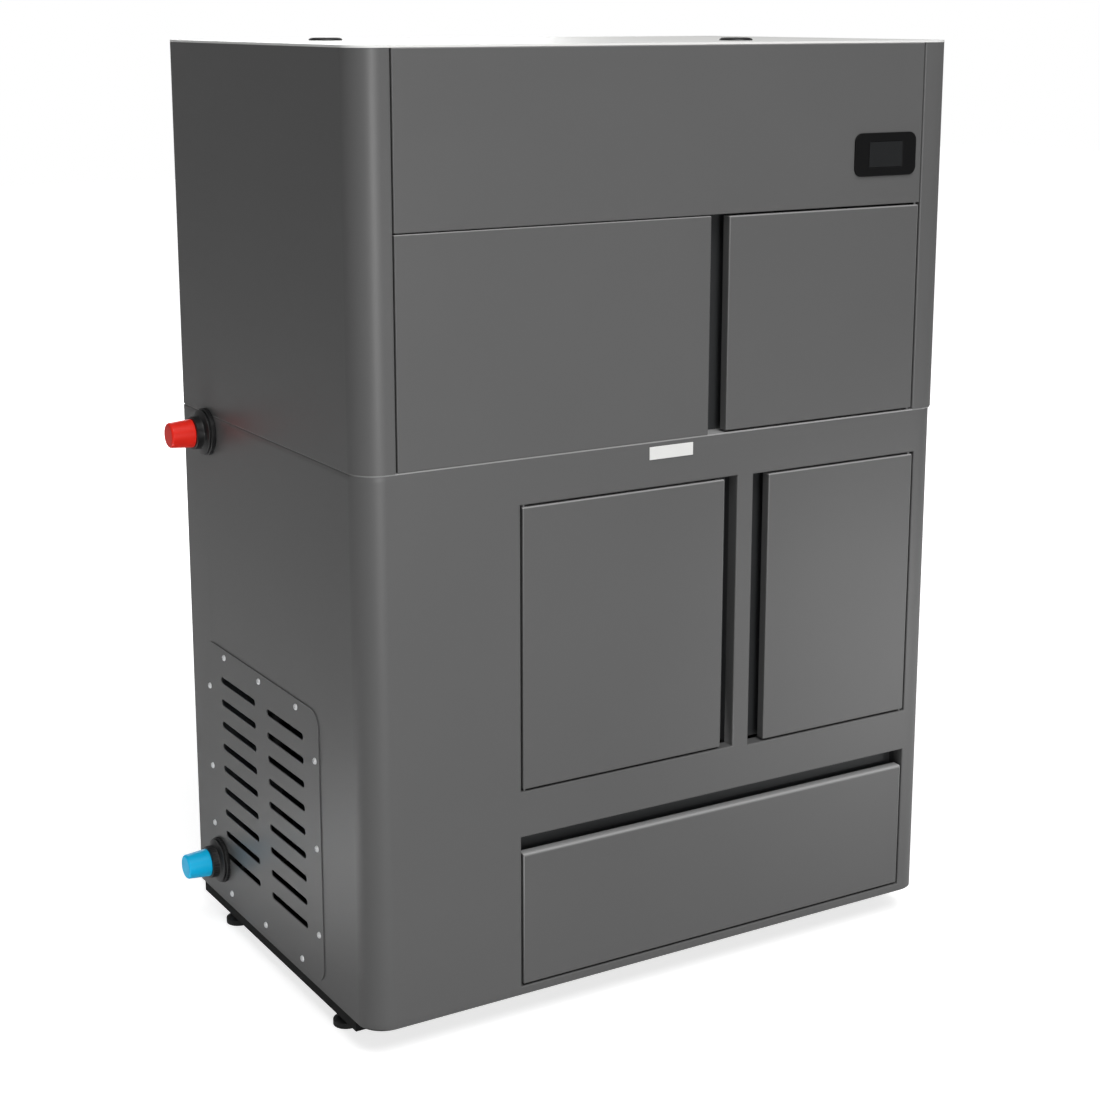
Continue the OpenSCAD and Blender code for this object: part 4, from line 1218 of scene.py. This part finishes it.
@dataclass
class Casing:
    """The boiler's sheet metal: bent shells, doors, lid, deck and frame. Sizes in millimetres."""

    finishes: Finishes
    depth: float = 604.0
    corner: float = 38.0
    lower_width: float = 956.0
    lower_height: float = 763.0
    upper_width: float = 960.0
    upper_low: float = 765.0
    upper_high: float = 1297.0
    fascia_left: float = 52.0
    fascia_right: float = 905.0
    return_bend: float = 2.6
    return_depth: float = 20.0
    lip_clearance: float = 2.2
    lip_width: float = 14.0
    front_lip_width: float = 60.0
    lip_low: float = 0.2
    lip_high: float = 2.0

    OPENINGS = {
        "left door": Opening(Facing.FRONT, 234.0, 588.0, 299.0, 701.0),
        "right door": Opening(Facing.FRONT, 616.0, 911.0, 296.0, 700.0),
        "ash drawer": Opening(Facing.FRONT, 234.0, 911.0, 12.0, 233.0),
        "vent grille": Opening(Facing.LEFT, 161.0, 527.0, 30.0, 394.0, lip=0.0),
        "flow stub": Opening(Facing.LEFT, 494.0, 530.0, 719.0, 755.0, lip=0.0),
    }
    # The strip and the plates are given by their lowest and highest corners.
    REAR_STRIP = ((14.3, 594.0, 0.3), (941.7, 601.7, 1.6))
    SLOT_ENDS = [((232.2, 19.5, 193.5), (233.8, 31.5, 234.5)), ((911.2, 19.5, 193.5), (912.8, 31.5, 234.5))]
    PANELS = [
        FoldedPanel("fascia", "fascia_panel", "cabinet"),
        FoldedPanel("hopper_front", "hopper_front_panel", "cabinet"),
        FoldedPanel("upper_door_leaf", "upper_right_door", "upper_door", pins=True, crown=2.4 * MM),
        FoldedPanel("left_door_leaf", "lower_left_door", "left_door", pins=True, crown=2.4 * MM),
        FoldedPanel("right_door_leaf", "lower_right_door", "right_door", pins=True, crown=2.4 * MM),
        FoldedPanel("drawer_leaf", "drawer_front", "ash_drawer", crown=4.6 * MM),
        # the lid's top_white is a painted reflection of the pale room
        FoldedPanel("lid_leaf", "hopper_lid", "lid", Facing.TOP, corner=2 * MM, pins=True, slot="top_white"),
    ]
    # CAD node, new piece, edge radius and slot.
    SOFT = [
        # the top sheet's top_white is a painted reflection of the pale room
        ("top_panel", "top_sheet", 1.2, "top_white"),
        ("base_frame", "base_bars", 0.5, "base_black"),
        ("mid_deck", "deck_sheet", 0.5, "seam_grey"),
        ("rear_panel_lower", "rear_lower_sheet", 0.2, "rear_zinc"),
        ("rear_panel_upper", "rear_upper_sheet", 0.6, "rear_zinc"),
        ("vent_grille", "grille_sheet", 0.25, "cabinet_grey"),
        ("front_plate", "blank_plate", 0.35, "plate_pale"),
        # the grip channels' channel_dark is painted shade in the recesses
        ("upper_channel", "upper_grip_channel", 0.7, "channel_dark"),
        ("left_channel", "left_grip_channel", 0.7, "channel_dark"),
        ("right_channel", "right_grip_channel", 0.7, "channel_dark"),
        ("drawer_channel", "drawer_grip_channel", 0.7, "channel_dark"),
    ]

    def left_wrap(self) -> Outline:
        """The left front corner and the left side in plan, from front to rear."""
        return [*corner_arc(self.corner, self.corner, self.corner, -90, -180), (0.0, self.depth)]

    def right_wrap(self, width: float) -> Outline:
        """The right side and the right front corner in plan, from rear to front."""
        return [(width, self.depth), *corner_arc(width - self.corner, self.corner, self.corner, 0, -90)]

    def shells(self) -> None:
        """The three bent shells: the lower one in one piece, the upper two with returns by the fascia."""
        grey, bend = self.finishes["cabinet_grey"], self.return_bend
        lower = self.right_wrap(self.lower_width) + self.left_wrap()
        openings = list(self.OPENINGS.values())
        WrapSheet("lower_casing", "lower_shell", lower, 0.0, self.lower_height, openings).build(grey)
        self.bottom_lip(lower)
        left_return = corner_arc(self.fascia_left - bend, bend, bend, 0, -90, steps=5)
        left = [(self.fascia_left, self.return_depth), *left_return, *self.left_wrap()]
        right_return = corner_arc(self.fascia_right + bend, bend, bend, -90, -180, steps=5)
        right = [*self.right_wrap(self.upper_width), *right_return, (self.fascia_right, self.return_depth)]
        for name, node, plan in (
            ("upper_left_casing", "upper_left_side", left),
            ("upper_right_casing", "upper_right_side", right),
        ):
            WrapSheet(name, node, plan, self.upper_low, self.upper_high).build(grey)

    def bottom_lip(self, plan: Outline) -> None:
        """The lower shell's bottom lip, wider at the front over the set-back base, and a strip at the rear.

        Args:
            plan: the shell's outline in plan.
        """
        gap, lip, width = self.lip_clearance, self.lip_width, self.lower_width
        outer = [(min(max(x, gap), width - gap), min(max(y, gap), self.depth)) for x, y in plan]
        inner = [(min(max(x, lip), width - lip), max(y, self.front_lip_width)) for x, y in plan]
        low, high = self.lip_low, self.lip_high
        rings = ((outer, low), (inner, low), (inner, high), (outer, high))
        mesh = Mesh().grid(np.array([[at(x, y, z) for x, y in ring] for ring, z in rings]), along=True)
        add_bar(mesh, *self.REAR_STRIP)
        lip_piece = mesh.piece("lower_casing_lip", merge=1e-5)
        place_piece(lip_piece, self.finishes["cabinet_grey"], "cabinet", "cabinet_grey")

    def slot_ends(self) -> None:
        """The end plates of the drawer's finger slot, from the shell's flange to the liner's back wall."""
        mesh = Mesh()
        for low, high in self.SLOT_ENDS:
            add_bar(mesh, low, high)
        # the slot ends' dark paint is painted shade in the finger slot
        dark = self.finishes["channel_dark"]
        place_piece(mesh.piece("drawer_slot_ends"), dark, "cabinet", "channel_dark")

    def build(self) -> None:
        """Makes all sheet parts."""
        self.shells()
        self.slot_ends()
        for panel in self.PANELS:
            panel.build(self.finishes[panel.slot])
        for node, name, width, slot in self.SOFT:
            place_piece(softened(node, name, width * MM), self.finishes[slot], "cabinet", slot, node)


@dataclass
class Fittings:
    """What is fixed on the casing: feet, caps, collars, screws and the display. Sizes in millimetres."""

    finishes: Finishes
    stub_y: float = 512.0
    flow_z: float = 737.0
    return_z: float = 66.0
    collar_bore: float = 17.2
    cap_bore: float = 17.1
    top_z: float = 1300.0
    grille_face: float = -1.5
    pad_edge: float = 1.2

    EYES = [(163.0, 423.0), (662.0, 126.0)]
    # CAD node, new piece, body, edge radius and slot.
    INNER = [
        ("boiler_body", "fired_body", "cabinet", 1.5, "body_iron"),
        ("firebox_door", "firebox_leaf", "fire_door", 1.5, "door_iron"),
        ("door_handle", "firebox_lever", "fire_door", 1.2, "handle_black"),
        ("burner_pot", "burner_cup", "cabinet", 0.8, "pot_steel"),
        ("hopper_bin", "pellet_bin", "cabinet", 0.6, "plain_steel"),
        ("ash_tray", "ash_pan", "ash_drawer", 0.5, "plain_steel"),
        ("auger_gearmotor", "auger_drive", "cabinet", 1.5, "motor_dark"),
        ("fan_housing", "draught_scroll", "cabinet", 1.0, "rear_zinc"),
        ("circulator_pump", "circulator", "cabinet", 1.5, "motor_dark"),
        ("expansion_vessel", "vessel_can", "cabinet", 3.0, "vessel_red"),
        ("vessel_bracket", "vessel_strap", "cabinet", 0.8, "rear_zinc"),
        ("control_box", "control_case", "cabinet", 2.0, "box_grey"),
        ("mains_inlet", "inlet_socket", "cabinet", 0.8, "cap_black"),
        ("main_switch", "inlet_rocker", "rocker", 0.6, "switch_red"),
        ("drop_chute", "pellet_chute", "cabinet", 0.6, "plain_steel"),
    ]

    def collars(self) -> None:
        """The collars at the two stubs: a disc, knurled on the lower one, a flared cone and a nut."""
        bore = self.collar_bore
        for name, z, seat, ribs in (
            ("flow_collar", self.flow_z, 0.0, 0),
            ("return_collar", self.return_z, -1.5, 40),
        ):
            disc = [(seat, bore), (seat, 34.0), (seat - 1.0, 34.5), (-6.2, 34.5), (-7.2, 33.4), (-7.2, 31.0)]
            cone = [(-8.4, 31.0), (-8.4, 32.4), (-9.4, 33.0), (-10.6, 32.4), (-12.6, 26.5), (-14.0, 24.4)]
            nut = [(-16.0, 24.0), (-24.2, 24.0), (-25.0, 23.2), (-25.0, bore), (-8.4, bore), (seat, bore)]
            collar = Turned(
                name, "pipe_collars", "cabinet", "cap_black", axis=0, centres=[at(0.0, self.stub_y, z)],
                profiles=[disc + cone + nut], sides=120, lobes=ribs, lobe_depth=0.012,
            )
            collar.build(self.finishes["cap_black"])

    def caps(self) -> None:
        """The red and blue caps, slightly tapered with a rounded closed end."""
        turn = np.radians(np.linspace(0, 90, 8))
        socket = [(-44.5, 0.0), (-44.5, self.cap_bore), (-25.3, self.cap_bore)]
        skirt = [(-25.3, 20.6), (-25.9, 21.0), (-28.0, 20.9)]
        end = [(-57.0 - 4.0 * math.sin(a), 14.5 + 4.1 * math.cos(a)) for a in turn]
        profile = socket + skirt + end + [(-61.0, 0.0)]
        for name, node, body, slot, z in (
            ("red_stub_cap", "flow_cap", "red_cap", "cap_red", self.flow_z),
            ("blue_stub_cap", "return_cap", "blue_cap", "cap_blue", self.return_z),
        ):
            cap = Turned(name, node, body, slot, 0, [at(0.0, self.stub_y, z)], [profile], sides=72)
            cap.build(self.finishes[slot])

    def eyes(self) -> None:
        """The black caps over the two lifting eyes."""
        edge = [(0.0, 0.0), (0.0, 23.6), (0.6, 24.0), (1.2, 23.8), (2.6, 22.6)]
        dome = edge + [(3.6, 20.4), (4.0, 17.0), (4.0, 0.0)]
        spots = [at(x, y, self.top_z) for x, y in self.EYES]
        covers = Turned("eye_covers", "lifting_eye_caps", "cabinet", "cap_black", 2, spots, [dome])
        covers.build(self.finishes["cap_black"])

    def screws(self) -> None:
        """The grille's screws and those of the rear panels."""
        zinc = self.finishes["screw_zinc"]
        left, back = (-1.0, 0.0, 0.0), (0.0, 1.0, 0.0)
        rows = [(y, z) for y in (215.0, 344.0, 473.0) for z in (24.0, 400.0)]
        rows += [(155.0, z) for z in (84.0, 212.0, 340.0)] + [(533.0, z) for z in (119.0, 212.0, 340.0)]
        spots = [at(self.grille_face, y, z) for y, z in rows]
        heads = ScrewSet("grille_heads", left, spots, radius=4.6, height=2.8, node="grille_screws")
        heads.build(zinc)
        rear = float(node_corners("rear_panel_lower")[1][1] - ORIGIN[1]) / MM
        spots = [at(x, rear, z) for x in (14.0, 942.0) for z in (16.0, 260.0, 504.0, 748.0)]
        spots += [at(x, rear, z) for x in (14.0, 946.0) for z in (782.0, 1030.0, 1280.0)]
        heads = ScrewSet("rear_heads", back, spots, radius=4.5, height=1.9)
        heads.build(zinc)

    def feet(self) -> None:
        """The levelling feet with softened pads."""
        for node in ("foot_front_left", "foot_front_right", "foot_rear_left", "foot_rear_right"):
            pad = softened(node, node + "_pad", self.pad_edge * MM, segments=3)
            place_piece(pad, self.finishes["foot_black"], node + "_body", "foot_black", node)

    def build(self) -> None:
        """Makes all fittings, and softens the pieces inside."""
        self.collars()
        self.caps()
        self.eyes()
        self.screws()
        self.feet()
        Bezel().build(self.finishes["bezel_black"])
        for node, name, body, width, slot in self.INNER:
            place_piece(softened(node, name, width * MM), self.finishes[slot], body, slot, node)


def main() -> None:
    """Dresses the frame, builds the pieces and sets up the studio."""
    logging.basicConfig(level=logging.INFO, format="%(message)s")
    finishes = Finishes()
    record = frame["record"]["subparts"]
    finishes.dress({part["node"]: part["material_slot"] for part in record})
    Casing(finishes).build()
    Fittings(finishes).build()
    Studio().build()


if __name__ == "__main__":
    main()
